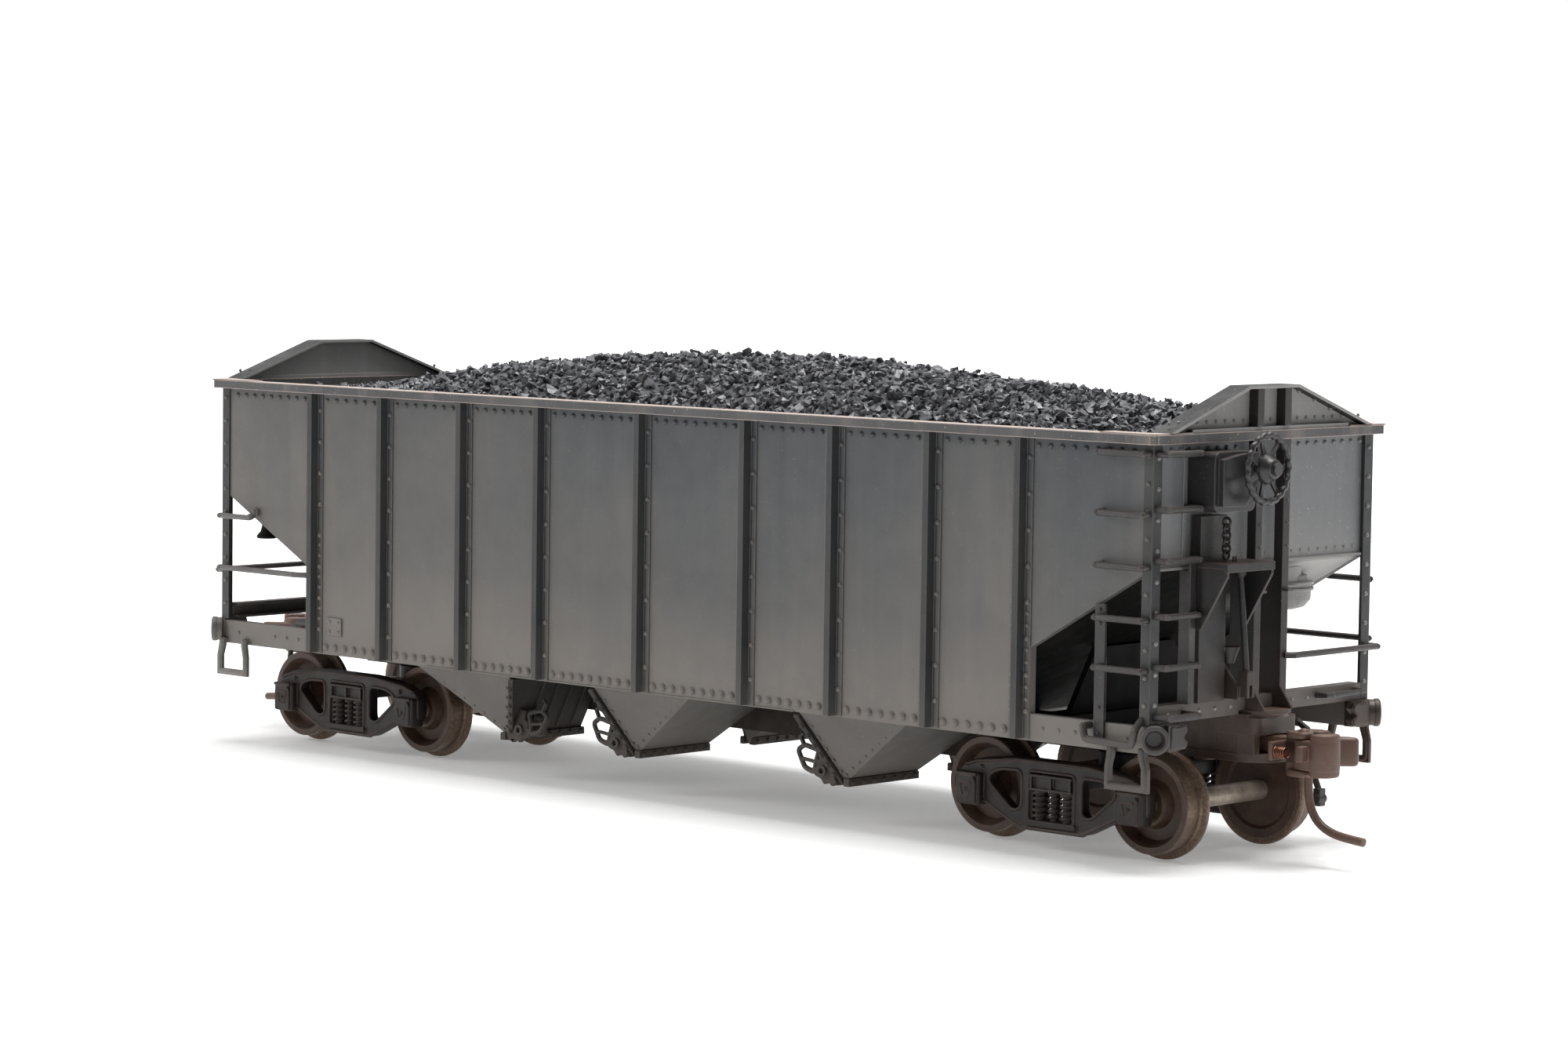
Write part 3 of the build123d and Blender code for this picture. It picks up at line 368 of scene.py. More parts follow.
# -------- mesh building
class Shape:
    """Collects the faces of one piece; positions are in mm in the shared frame."""

    def __init__(self):
        self.verts = []
        self.faces = []

    def add(self, verts, faces):
        base = len(self.verts)
        self.verts.extend(tuple(v) for v in verts)
        self.faces.extend(tuple(base + i for i in f) for f in faces)

    def lathe(self, center, axis, profile, steps=16, cap=True):
        """profile is (distance along the axis, radius) from the foot to the tip."""
        n = Vector(axis).normalized()
        u = n.orthogonal().normalized()
        v = n.cross(u)
        c = Vector(center)
        verts = []
        for along, r in profile:
            for k in range(steps):
                a = 2 * math.pi * k / steps
                verts.append(c + n * along + (u * math.cos(a) + v * math.sin(a)) * r)
        faces = []
        for ring in range(len(profile) - 1):
            for k in range(steps):
                a = ring * steps + k
                b = ring * steps + (k + 1) % steps
                faces.append((a, b, b + steps, a + steps))
        if cap:
            faces.append(tuple(reversed(range(steps))))
            faces.append(tuple((len(profile) - 1) * steps + k for k in range(steps)))
        self.add(verts, faces)

    def dome(self, center, normal, r, h, steps=8):
        profile = [(-0.03, r), (h * 0.45, r * 0.88), (h * 0.85, r * 0.52), (h, r * 0.14)]
        self.lathe(center, normal, profile, steps)

    def bolt(self, center, normal, r, h):
        wide = r * 1.35
        profile = [(-0.03, wide), (h * 0.35, wide), (h * 0.40, r), (h * 0.9, r), (h, r * 0.8)]
        self.lathe(center, normal, profile, 6)

    def tube(self, points, r, steps=8, closed=False):
        pts = [Vector(p) for p in points]
        count = len(pts)
        normal = None
        verts = []
        for i, p in enumerate(pts):
            before = pts[i - 1] if (i or closed) else p
            after = pts[(i + 1) % count] if (i < count - 1 or closed) else p
            t = (after - before).normalized()
            if normal is None:
                normal = t.orthogonal().normalized()
            normal = (normal - t * normal.dot(t)).normalized()
            side = t.cross(normal)
            for k in range(steps):
                a = 2 * math.pi * k / steps
                verts.append(p + (normal * math.cos(a) + side * math.sin(a)) * r)
        faces = []
        for i in range(count if closed else count - 1):
            j = (i + 1) % count
            for k in range(steps):
                m = (k + 1) % steps
                faces.append((i * steps + k, i * steps + m, j * steps + m, j * steps + k))
        if not closed:
            faces.append(tuple(reversed(range(steps))))
            faces.append(tuple((count - 1) * steps + k for k in range(steps)))
        self.add(verts, faces)

    def prism(self, outline, direction, chamfer=0.0):
        """A flat outline pushed along direction, with its far edge drawn in by chamfer."""
        pts = [Vector(p) for p in outline]
        d = Vector(direction)
        middle = sum(pts, Vector()) / len(pts)
        rings = [pts]
        if chamfer:
            rings.append([p + d * (1 - chamfer / d.length) for p in pts])
            rings.append([p + d + (middle - p).normalized() * chamfer for p in pts])
        else:
            rings.append([p + d for p in pts])
        n = len(pts)
        verts = [p for ring in rings for p in ring]
        faces = [tuple(reversed(range(n))), tuple((len(rings) - 1) * n + k for k in range(n))]
        for ring in range(len(rings) - 1):
            for k in range(n):
                a = ring * n + k
                b = ring * n + (k + 1) % n
                faces.append((a, b, b + n, a + n))
        self.add(verts, faces)

    def box(self, x0, x1, y0, y1, z0, z1, chamfer=0.0):
        self.prism([(x0, y0, z0), (x1, y0, z0), (x1, y1, z0), (x0, y1, z0)], (0, 0, z1 - z0), chamfer)

    def turned(self):
        """The same shape at the other end of the car: half a turn about Z."""
        other = Shape()
        other.verts = [(-x, -y, z) for x, y, z in self.verts]
        other.faces = list(self.faces)
        return other

    def flipped(self):
        """The same shape on the other side of the car."""
        other = Shape()
        other.verts = [(x, -y, z) for x, y, z in self.verts]
        other.faces = [tuple(reversed(f)) for f in self.faces]
        return other

    def join(self, other):
        self.add(other.verts, other.faces)
        return self

    def piece(self, name, material, body, slot, smooth=35.0):
        mesh = bpy.data.meshes.new(name)
        mesh.from_pydata([(x * MM, y * MM, z * MM) for x, y, z in self.verts], [], self.faces)
        mesh.materials.append(MATERIALS[material])
        obj = add_object(name, mesh)
        if smooth:
            mesh.shade_smooth()
            mesh.set_sharp_from_angle(angle=math.radians(smooth))
        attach(obj, body)
        return obj


CURVE_STEPS = 4          # parts in the curve of a rounded corner


def rounded(points, r, steps=CURVE_STEPS):
    """The outline with each corner turned into a short curve that starts r before it."""
    pts = [Vector(p) for p in points]
    out = []
    for i, p in enumerate(pts):
        a = pts[i - 1] - p
        b = pts[(i + 1) % len(pts)] - p
        start = p + a.normalized() * min(r, a.length * 0.45)
        stop = p + b.normalized() * min(r, b.length * 0.45)
        for k in range(steps + 1):
            t = k / steps
            out.append(start * (1 - t) ** 2 + p * 2 * t * (1 - t) + stop * t * t)
    return out


def bent(points, r):
    """An open path with its inner corners turned into short curves."""
    soft = rounded(points, r)
    skip = CURVE_STEPS + 1
    return [Vector(points[0])] + soft[skip:-skip] + [Vector(points[-1])]


def from_curve(curve):
    """The points and faces that a curve draws; the curve is removed."""
    obj = add_object("curve", curve)
    bpy.context.view_layer.update()
    mesh = bpy.data.meshes.new_from_object(obj)
    points = [v.co.copy() for v in mesh.vertices]
    faces = [tuple(f.vertices) for f in mesh.polygons]
    bpy.data.objects.remove(obj)
    bpy.data.curves.remove(curve)
    bpy.data.meshes.remove(mesh)
    return points, faces


def add_plate(shape, loops, plane, low, high, bevel):
    """A flat plate with soft edges: loops[0] is its outline, the others are holes. plane is xz, xy or yz."""
    curve = bpy.data.curves.new("outline", "CURVE")
    curve.dimensions = "2D"
    curve.fill_mode = "BOTH"
    curve.extrude = (high - low) / 2 - bevel
    curve.bevel_depth = bevel
    curve.bevel_resolution = 2
    curve.offset = -bevel
    for loop in loops:
        spline = curve.splines.new("POLY")
        spline.points.add(len(loop) - 1)
        for point, (u, v) in zip(spline.points, loop):
            point.co = (u, v, 0, 1)
        spline.use_cyclic_u = True
    points, faces = from_curve(curve)
    verts = []
    for u, w, depth in points:
        d = (low + high) / 2 + depth
        verts.append({"xz": (u, d, w), "xy": (u, w, d), "yz": (d, u, w)}[plane])
    if plane == "xz":
        faces = [tuple(reversed(f)) for f in faces]
    shape.add(verts, faces)


def add_block(shape, outline, corner, plane, low, high, bevel):
    """A plate without holes, the corners of its outline turned into curves."""
    add_plate(shape, [rounded(outline, corner)], plane, low, high, bevel)


def box_loop(u0, u1, v0, v1):
    return [(u0, v0), (u1, v0), (u1, v1), (u0, v1)]


def at_y(outline, y):
    """An outline of x and z, as points in the plane at y."""
    return [(x, y, z) for x, z in outline]


def ring_profile(inner, outer, high):
    """The closed profile of a flat ring, for lathe."""
    return [(0, inner), (0, outer), (high, outer), (high, inner), (0, inner)]


def helix(turns, steps):
    """Share of the length, cosine and sine at each point along a coil."""
    count = turns * steps
    angles = [2 * math.pi * k / steps for k in range(count + 1)]
    return [(k / count, math.cos(a), math.sin(a)) for k, a in enumerate(angles)]


def spread(low, high, step):
    count = max(1, round((high - low) / step))
    return [low + (high - low) * k / count for k in range(count + 1)]


# -------- rivets
def side_rivets():
    """Rivets of the near sheet and of its posts; the far side is this one turned end for end."""
    s = Shape()
    on_posts = Shape()
    face = -SIDE_Y
    bounds = (-END_X,) + POST_X + (END_X,)
    for left, right in zip(bounds[:-1], bounds[1:]):
        lo = left + 1.9
        hi = right - 1.9
        for x in spread(lo, hi, 1.45):
            s.dome((x, face, 39.75), NEAR, 0.30, 0.28)
        if left > -60 and right < 60:
            for x in spread(lo, hi, 1.45):
                s.dome((x, face, 12.25), NEAR, 0.42, 0.36, 12)
    for x in POST_X:
        for side in (-1, 1):
            for z in spread(14.2, 38.6, 3.55):
                on_posts.dome((x + side * 0.95, face - 0.14, z), NEAR, 0.30, 0.28)
            if abs(x) > 50:
                for z in spread(14.2, 24.8, 1.18):
                    on_posts.dome((x + side * 0.95, face - 0.14, z), NEAR, 0.25, 0.22)
    for end in (-1, 1):
        for z in spread(16.0, 39.4, 2.75):
            on_posts.dome((end * END_X, face - 0.2, z), NEAR, 0.26, 0.22)
    s.prism(at_y(box_loop(-49.3, -47.0, 13.6, 15.6), face + 0.02), (0, -0.22, 0), 0.06)
    for x in (-48.85, -47.45):
        for z in (14.05, 15.15):
            s.dome((x, face - 0.2, z), NEAR, 0.2, 0.16)
    for x in (54.5, 56.5, 58.5, 64.8):
        s.dome((x, face, 12.7), NEAR, 0.22, 0.17)
        s.dome((-x, face, 12.7), NEAR, 0.22, 0.17)
    return s, on_posts


def end_rivets():
    """Rivets of the B end."""
    s = Shape()
    face = 67.1
    for y in spread(-15.6, 15.6, 1.45):
        if abs(abs(y) - 2.15) > 0.75:
            s.dome((face, y, 39.85), TO_B, 0.27, 0.26)
    for y in spread(-14.9, 14.9, 1.45):
        s.dome((67.4, y, 42.4), TO_B, 0.2, 0.17)
        if abs(abs(y) - 2.15) > 0.75:
            s.dome((face, y, 29.5), TO_B, 0.2, 0.16)
    for side in (-1, 1):
        for z in spread(16.0, 39.2, 2.75):
            s.dome((67.6, side * 16.55, z), TO_B, 0.26, 0.24)
        for post in (-2.15, 2.15):
            for z in spread(30.2, 39.0, 2.2):
                s.dome((68.5, post + 0.2, z), TO_B, 0.17, 0.13)
        for z in (43.2, 44.1, 45.0):
            room = 15.0 - (z - 41.5) * 2.85
            s.dome((67.4, side * room, z), TO_B, 0.26, 0.3)
    s.box(67.08, 67.24, -12.3, -11.85, 28.9, 40.3)
    for y in spread(-14.6, 14.6, 2.4):
        if abs(y) > 4.2:
            s.dome((67.6, y, 15.05), TO_B, 0.2, 0.16)
    return s


for stem, near in zip(("rivets_side", "rivets_post"), side_rivets()):
    near.piece(stem + "_l", "side", "car_body", "body_paint")
    near.turned().piece(stem + "_r", "side", "car_body", "body_paint")
end_b = end_rivets()
end_b.piece("rivets_end_b", "end", "car_body", "end_paint")
end_b.turned().piece("rivets_end_a", "end", "car_body", "end_paint")


# -------- coal
LOAD_X = (-65.6, -58.0, -45.0, -32.0, -20.0, -8.0, 15.0, 27.0, 37.0, 47.0, 57.0, 65.6)
LOAD_PEAK = (40.9, 41.3, 42.2, 44.1, 45.2, 45.8, 46.0, 45.1, 44.4, 43.7, 42.4, 41.0)
LOAD_RIM = 40.6          # height of the heap along its edges
LOAD_HALF = 15.9         # half its width
LOAD_FLOOR = 36.24       # its flat underside
LUMP_KINDS = 48
# for each layer of lumps: their spacing, smallest and largest radius, and lift
LUMP_LAYERS = ((1.30, 0.58, 0.88, -0.10), (0.84, 0.29, 0.55, 0.20), (1.08, 0.26, 0.62, 0.52))


def heap_z(x, y):
    """Height of the heap: a rounded ridge with bumps, lower by 1 mm toward end A."""
    peak = float(np.interp(x, LOAD_X, LOAD_PEAK))
    across = 1 - min(1.0, abs(y) / LOAD_HALF) ** 2.1
    bumps = noise.noise(Vector((x * 0.16, y * 0.16, 3.7))) * 0.5
    bumps += noise.noise(Vector((x * 0.5, y * 0.5, 9.1))) * 0.22
    edge = min(1.0, (LOAD_HALF - abs(y)) / 3.0, (65.7 - abs(x)) / 4.0)
    dip = min(1.0, max(0.0, (-x - 46.0) / 10.0))
    return LOAD_RIM + (peak - LOAD_RIM) * across + bumps * max(0.0, edge) * 0.8 - dip


def heap_ground():
    """The closed body under the lumps."""
    s = Shape()
    xs = np.linspace(-65.5, 65.5, 132)
    ys = np.linspace(-15.8, 15.8, 32)
    top = [(x, y, heap_z(x, y) - 0.35) for x in xs for y in ys]
    low = [(x, y, LOAD_FLOOR) for x in xs for y in ys]
    rows = len(ys)
    count = len(top)
    faces = []
    for i in range(len(xs) - 1):
        for j in range(rows - 1):
            a = i * rows + j
            faces.append((a, a + rows, a + rows + 1, a + 1))
            faces.append((count + a, count + a + 1, count + a + rows + 1, count + a + rows))
    rim = [i * rows for i in range(len(xs))] + [(len(xs) - 1) * rows + j for j in range(1, rows)]
    rim += [i * rows + rows - 1 for i in range(len(xs) - 2, -1, -1)] + [j for j in range(rows - 2, 0, -1)]
    for a, b in zip(rim, rim[1:] + rim[:1]):
        faces.append((a, count + a, count + b, b))
    s.add(top + low, faces)
    return s


def lump_forms(rng):
    """A few dozen broken stones: convex hulls of scattered points, so they have flat facets."""
    forms = []
    for _ in range(LUMP_KINDS):
        bm = bmesh.new()
        for _ in range(rng.choice((9, 11, 13, 16))):
            d = Vector((rng.gauss(0, 1), rng.gauss(0, 1), rng.gauss(0, 1))).normalized()
            bm.verts.new(d * rng.uniform(0.62, 1.15))
        bmesh.ops.convex_hull(bm, input=bm.verts)
        loose = [v for v in bm.verts if not v.link_faces]
        bmesh.ops.delete(bm, geom=loose, context="VERTS")
        bm.verts.index_update()
        stretch = (rng.uniform(0.75, 1.25), rng.uniform(0.75, 1.25), rng.uniform(0.6, 0.95))
        verts = np.array([v.co for v in bm.verts]) * stretch
        faces = [tuple(v.index for v in f.verts) for f in bm.faces]
        forms.append((verts, faces))
        bm.free()
    return forms


def coal_lumps():
    """The heap, strewn with lumps; the topmost layer leaves out about half of its places."""
    s = heap_ground()
    rng = random.Random(17)
    forms = lump_forms(rng)
    for step, small, large, lift in LUMP_LAYERS:
        x = -65.0
        while x < 65.1:
            y = -15.4
            while y < 15.45:
                px = x + rng.uniform(-0.5, 0.5) * step
                py = y + rng.uniform(-0.5, 0.5) * step
                size = rng.uniform(small, large) * (1.25 if rng.random() < 0.12 else 1.0)
                verts, faces = rng.choice(forms)
                axis = Vector((rng.gauss(0, 1), rng.gauss(0, 1), rng.gauss(0, 1))).normalized()
                spin = np.array(Matrix.Rotation(rng.uniform(0, 6.283), 3, axis))
                px = max(-65.65 + size, min(65.65 - size, px))
                py = max(-15.95 + size, min(15.95 - size, py))
                keep = rng.random() < (0.55 if lift > 0.4 else 1.0)
                pz = heap_z(px, py) - 0.30 + lift + rng.uniform(-0.28, 0.28)
                if keep:
                    s.add((verts * size) @ spin.T + (px, py, pz), faces)
                y += step
            x += step
    return s


coal = coal_lumps().piece("coal_lumps", "coal", "load", "coal", smooth=0)
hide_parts("coal_load")


# -------- brake wheel
def brake_wheel():
    """A pressed wheel: waved grip rim, dished web with seven openings, domed hub."""
    s = Shape()
    x0, y0, z0 = BRAKE_WHEEL
    center = Vector((x0, y0, z0))
    holes = 7

    def at(r, a, x):
        return center + Vector((x, r * math.cos(a), r * math.sin(a)))

    rim = []
    for k in range(140):
        a = 2 * math.pi * k / 140
        rim.append(at(3.16 + 0.09 * math.cos(21 * a), a, 0.02))
    s.tube(rim, 0.31, 10, closed=True)
    for h in range(holes):
        a0 = 2 * math.pi * h / holes
        half = math.pi / holes
        width = []
        for k in range(13):
            t = k / 12
            r = 1.25 + t * 1.95
            width.append((r, 0.20 + 0.42 * (2 * t - 1) ** 4))
        front, rear = [], []
        for r, w in width:
            w = min(w, r * math.sin(half) * 0.999)
            for side in (-1, 1):
                a = a0 + side * math.asin(min(0.95, w / r))
                x = -0.18 - 0.20 * math.sin(math.pi * (r - 1.2) / 2.1)
                front.append(at(r, a, x + 0.16))
                rear.append(at(r, a, x - 0.10))
        n = len(front)
        faces = []
        for k in range(0, n - 2, 2):
            faces.append((k, k + 1, k + 3, k + 2))
            faces.append((n + k, n + k + 2, n + k + 3, n + k + 1))
            faces.append((k, k + 2, n + k + 2, n + k))
            faces.append((k + 1, n + k + 1, n + k + 3, k + 3))
        faces.append((0, n, n + 1, 1))
        faces.append((n - 2, n - 1, 2 * n - 1, 2 * n - 2))
        s.add(front + rear, faces)
    hub = [(-0.35, 0.62), (-0.35, 1.45), (0.0, 1.50), (0.30, 1.32), (0.55, 1.0), (0.90, 0.92), (0.95, 0.62),
           (-0.35, 0.62)]
    s.lathe(center, TO_B, hub, 28, cap=False)
    return s


wheel = brake_wheel().piece("brake_handwheel", "brake", "brake_wheel", "end_paint", smooth=40)
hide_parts("brake_wheel")


# -------- grab irons
SIDE_RUNGS = (39.6, 33.9, 28.95, 24.0, 19.25)
END_RUNGS = (39.6, 34.4, 29.6, 24.4, 19.6)
IRON_Y = -18.2           # centre line of the side rungs
STILE_X = 61.6
CORNER_POST_X = 67.1
END_IRON_X = 69.0        # centre line of the end rungs
BOLT = (0.25, 0.34)      # radius and height of an ordinary bolt head


def iron_bolts():
    """Bolt heads at the feet of the irons of the B end."""
    s = Shape()
    y = -SIDE_Y - 0.3
    for z in SIDE_RUNGS:
        for x in (STILE_X, CORNER_POST_X):
            s.bolt((x, IRON_Y, z), NEAR, *BOLT)
    for z in END_RUNGS:
        for end_y in (-16.7, -12.0):
            s.bolt((END_IRON_X, end_y, z), TO_B, *BOLT)
    for z in (13.0, 15.4, 23.4, 24.7):
        s.dome((STILE_X, y, z), NEAR, 0.22, 0.18)
    for x, z in ((60.4, 13.6), (66.7, 13.9)):
        s.bolt((x, IRON_Y, z), NEAR, *BOLT)
    for yy in (-16.5, -12.2):
        s.bolt((69.5, yy, 14.9), TO_B, *BOLT)
    for x, z in ((66.9, 26.0), (61.6, 26.2), (66.9, 20.1), (54.0, 20.1)):
        s.bolt((x, -IRON_Y, z), FAR, *BOLT)
    s.bolt((61.6, 17.4, 26.6), FAR, 0.4, 0.5)
    for yy, z in ((16.5, 19.6), (3.0, 19.6)):
        s.bolt((69.15, yy, z), TO_B, *BOLT)
    return s


def iron_bars():
    """Full round bars with bent corners over the thin irons of the B end."""
    s = Shape()
    y = IRON_Y
    for z in SIDE_RUNGS:
        foot = -SIDE_Y if z > 27 else -SIDE_Y - 0.3
        rung = [(STILE_X, foot, z), (STILE_X, y, z), (CORNER_POST_X, y, z),
                (CORNER_POST_X, -SIDE_Y - 0.2, z)]
        s.tube(bent(rung, 0.35), 0.33, 10)
    for z in END_RUNGS:
        back = CORNER_POST_X if z > 30 else 68.5
        rung = [(67.6, -16.7, z), (END_IRON_X, -16.7, z), (END_IRON_X, -12.0, z), (back, -12.0, z)]
        s.tube(bent(rung, 0.35), 0.33, 10)
    drop = [(60.4, -SIDE_Y, 13.6), (60.4, y, 13.6), (60.6, y, 12.4), (66.3, y, 12.2), (66.7, y, 13.9),
            (66.7, -SIDE_Y - 0.2, 14.6)]
    s.tube(bent(drop, 0.5), 0.36, 10)
    sill_bar = [(67.6, -16.5, 14.9), (69.5, -16.5, 14.9), (69.5, -12.2, 14.9), (67.6, -12.2, 14.9)]
    s.tube(bent(sill_bar, 0.5), 0.36, 10)
    far = ([(66.9, 17.3, 26.0), (66.9, -y, 26.0), (61.6, -y, 26.0), (61.6, 17.1, 26.6)],
           [(66.9, 17.3, 20.1), (66.9, -y, 20.1), (53.6, -y, 20.1), (52.5, 17.6, 20.1)],
           [(67.6, 16.5, 19.6), (69.2, 16.5, 19.6), (69.2, 2.9, 19.6), (68.52, 2.35, 19.6)],
           [(67.6, 15.0, 15.2), (68.9, 15.0, 15.2), (68.9, 8.8, 15.2), (67.6, 8.8, 15.2)])
    for path in far:
        s.tube(bent(path, 0.4), 0.31, 10)
    return s


for stem, shape in (("iron_bolts_", iron_bolts()), ("iron_bars_", iron_bars())):
    shape.piece(stem + "b", "iron", "car_body", "iron_paint")
    shape.turned().piece(stem + "a", "iron_a", "car_body", "iron_paint")


# -------- trucks
FRAME_EDGE = ((-11.9, 4.3), (-11.9, 7.3), (-9.6, 8.3), (-4.6, 8.9), (4.6, 8.9), (9.6, 8.3),
              (11.9, 7.3), (11.9, 4.3), (8.7, 4.1), (4.1, 1.9), (-4.1, 1.9), (-8.7, 4.1))
FRAME_FACE = -12.2       # outer face of the near side frame
SPRING_Y = -11.6         # centre line of its springs
WINDOW = ((3.75, 7.65), (6.6, 7.55), (8.0, 6.9), (8.0, 6.1), (4.9, 3.55), (3.75, 3.9))


def truck_side():
    """The near side frame of truck B, about its own middle at x = 0."""
    s = Shape()
    lip = FRAME_FACE + 0.02
    windows = [rounded([(side * u, z) for u, z in WINDOW], 0.75) for side in (-1, 1)]
    middle = rounded(box_loop(-2.9, 2.9, 2.8, 7.7), 0.5)
    add_plate(s, [rounded(FRAME_EDGE, 0.9), *windows, middle], "xz", FRAME_FACE, -10.8, 0.22)
    for loop in windows + [middle]:
        s.tube(at_y(loop, lip), 0.19, 8, closed=True)
    lower = [(-8.6, 4.25), (-4.0, 2.05), (4.0, 2.05), (8.6, 4.25)]
    s.tube(at_y(lower, lip), 0.2, 8)
    upper = [(-11.0, 7.55), (-9.4, 8.05), (-4.5, 8.65), (4.5, 8.65), (9.4, 8.05), (11.0, 7.55)]
    s.tube(at_y(upper, lip), 0.17, 8)
    for side in (-1, 1):
        x = side * AXLE_HALF
        add_block(s, box_loop(x - 1.55, x + 1.55, 3.7, 6.95), 0.35, "xz", -12.95, -11.2, 0.2)
        lid = [(x - 1.25, 3.95), (x + 1.25, 3.95), (x + 1.25, 6.2), (x + 0.8, 6.7), (x - 0.8, 6.7),
               (x - 1.25, 6.2)]
        add_block(s, lid, 0.3, "xz", -13.2, -12.85, 0.1)
        s.tube([(x - 1.3, -13.05, 6.75), (x + 1.3, -13.05, 6.75)], 0.2, 10)
        rim_line = [(x - 0.75, 5.95), (x + 0.75, 5.95), (x + 0.4, 4.6), (x - 0.4, 4.6)]
        s.tube(at_y(rounded(rim_line, 0.25, 3), -13.2), 0.11, 6, closed=True)
        s.dome((x, -13.2, 5.25), NEAR, 0.26, 0.18, 12)
        for u in (-1.05, 1.05):
            s.bolt((x + u, -12.9, 4.0), NEAR, 0.18, 0.3)
        s.bolt((side * 8.9, FRAME_FACE, 7.45), NEAR, 0.22, 0.26)
        column = box_loop(side * 2.7 - 0.25, side * 2.7 + 0.25, 2.75, 7.65)
        add_block(s, column, 0.1, "xz", -12.1, -10.9, 0.06)
    add_block(s, box_loop(-3.2, 3.2, 2.35, 2.95), 0.25, "xz", -12.5, -10.9, 0.12)
    add_block(s, box_loop(-2.55, 2.55, 5.85, 7.45), 0.2, "xz", -12.15, -10.6, 0.1)
    for low, high in ((5.85, 6.12), (7.2, 7.45)):
        add_block(s, box_loop(-2.75, 2.75, low, high), 0.1, "xz", -12.6, -12.05, 0.08)
    for u in (-2.45, 0.0, 2.45):
        add_block(s, box_loop(u - 0.14, u + 0.14, 5.9, 7.4), 0.08, "xz", -12.5, -12.05, 0.06)
    for u, r in ((-1.75, 0.74), (0.0, 0.56), (1.75, 0.74)):
        coil = [(u + r * c, SPRING_Y + r * d, 3.0 + 2.8 * share) for share, c, d in helix(5, 20)]
        s.tube(coil, 0.19, 8)
        s.lathe((u, SPRING_Y, 2.9), UP, [(0, r - 0.12), (3.0, r - 0.12)], 14)
    return s


def truck_b():
    """Both side frames, the bolster and the centre bowl, moved out to truck B."""
    near = truck_side()
    s = Shape().join(near)
    s.join(near.turned())
    add_block(s, box_loop(-2.4, 2.4, -11.0, 11.0), 0.4, "xy", 6.0, 7.5, 0.2)
    bowl = [(0, 1.05), (0, 3.2), (1.5, 3.2), (1.6, 3.05), (1.6, 1.05), (0, 1.05)]
    s.lathe((0, 0, 7.4), UP, bowl, 40, cap=False)
    s.verts = [(x + TRUCK_X, y, z) for x, y, z in s.verts]
    return s


# -------- couplers
HEAD = ((71.6, -1.5), (73.1, -1.2), (73.1, 0.4), (74.4, 0.9), (75.6, 2.2), (76.7, 3.2),
        (76.5, 3.9), (75.4, 3.9), (73.2, 2.6), (71.6, 1.7))
HEAD_CORE = ((71.6, -1.5), (73.1, -1.2), (73.1, 0.4), (74.2, 0.9), (74.5, 2.1), (73.2, 2.5), (71.6, 1.7))
KNUCKLE = ((73.2, -2.45), (74.6, -2.72), (76.2, -2.68), (77.1, -2.1), (77.45, -1.0), (77.1, 0.1),
           (76.5, 0.3), (75.95, 0.0), (76.05, -0.8), (75.3, -1.0), (74.6, -0.75), (73.4, -1.0))
EAR = ((71.8, -1.5), (72.8, -2.65), (74.6, -2.75), (74.95, -1.7), (74.6, -0.8), (73.0, -0.6))


def coupler_b():
    """Shank with its eye, head, spring seat, the two ears of the pivot, and the curved pin."""
    s = Shape()
    add_block(s, box_loop(64.0, 72.4, -0.9, 0.9), 0.2, "xy", 10.45, 12.15, 0.12)
    s.lathe((64.0, 0, 10.47), UP, ring_profile(0.92, 1.6, 1.66), 28, cap=False)
    add_block(s, HEAD, 0.45, "xy", 9.45, 12.25, 0.4)
    add_block(s, HEAD_CORE, 0.45, "xy", 8.8, 12.85, 0.28)
    add_block(s, EAR, 0.5, "xy", 12.36, 12.95, 0.16)
    add_block(s, EAR, 0.5, "xy", 8.7, 9.3, 0.16)
    add_block(s, box_loop(71.42, 71.98, -4.0, -0.8), 0.2, "xy", 10.2, 12.0, 0.12)
    s.lathe((74.0, -1.7, 8.72), UP, [(0, 0.42), (4.4, 0.42)], 18)
    s.dome((74.0, -1.7, 12.92), UP, 0.62, 0.42, 18)
    pin = [(73.4, 8.95), (73.4, 7.4), (73.55, 6.1), (74.0, 4.95), (74.8, 4.05), (76.0, 3.42),
           (77.6, 3.05), (80.0, 2.85)]
    line = bpy.data.curves.new("pin", "CURVE")
    line.dimensions = "3D"
    spline = line.splines.new("NURBS")
    spline.points.add(len(pin) - 1)
    for point, (x, z) in zip(spline.points, pin):
        point.co = (x, 0, z, 1)
    spline.order_u = 3
    spline.use_endpoint_u = True
    spline.resolution_u = 5
    s.tube(from_curve(line)[0], 0.42, 14)
    return s


def knuckle_b():
    """The knuckle with its taller nose, and a lug on its near side."""
    s = Shape()
    add_block(s, KNUCKLE, 0.5, "xy", 9.38, 12.28, 0.2)
    nose = [(75.25, -2.7), (76.2, -2.66), (77.1, -2.05), (77.42, -1.0), (77.1, 0.05), (76.5, 0.28),
            (75.95, 0.0), (76.02, -0.8), (75.35, -1.0)]
    add_block(s, nose, 0.5, "xy", 8.78, 12.92, 0.28)
    add_block(s, box_loop(74.52, 75.28, -3.88, -2.5), 0.25, "xy", 10.3, 11.8, 0.18)
    return s


for stem, paint, base, build in (("truck_frame", "truck", "truck_plastic", truck_b),
                                 ("coupler", "coupler", "coupler_cast", coupler_b),
                                 ("knuckle", "coupler", "coupler_cast", knuckle_b)):
    for end, shape in (("b", build()), ("a", build().turned())):
        body = {"truck_frame": "truck_"}.get(stem, stem + "_") + end
        detailed = shape.piece(stem + "_fine_" + end, paint, body, base)
        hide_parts(stem + "_" + end)


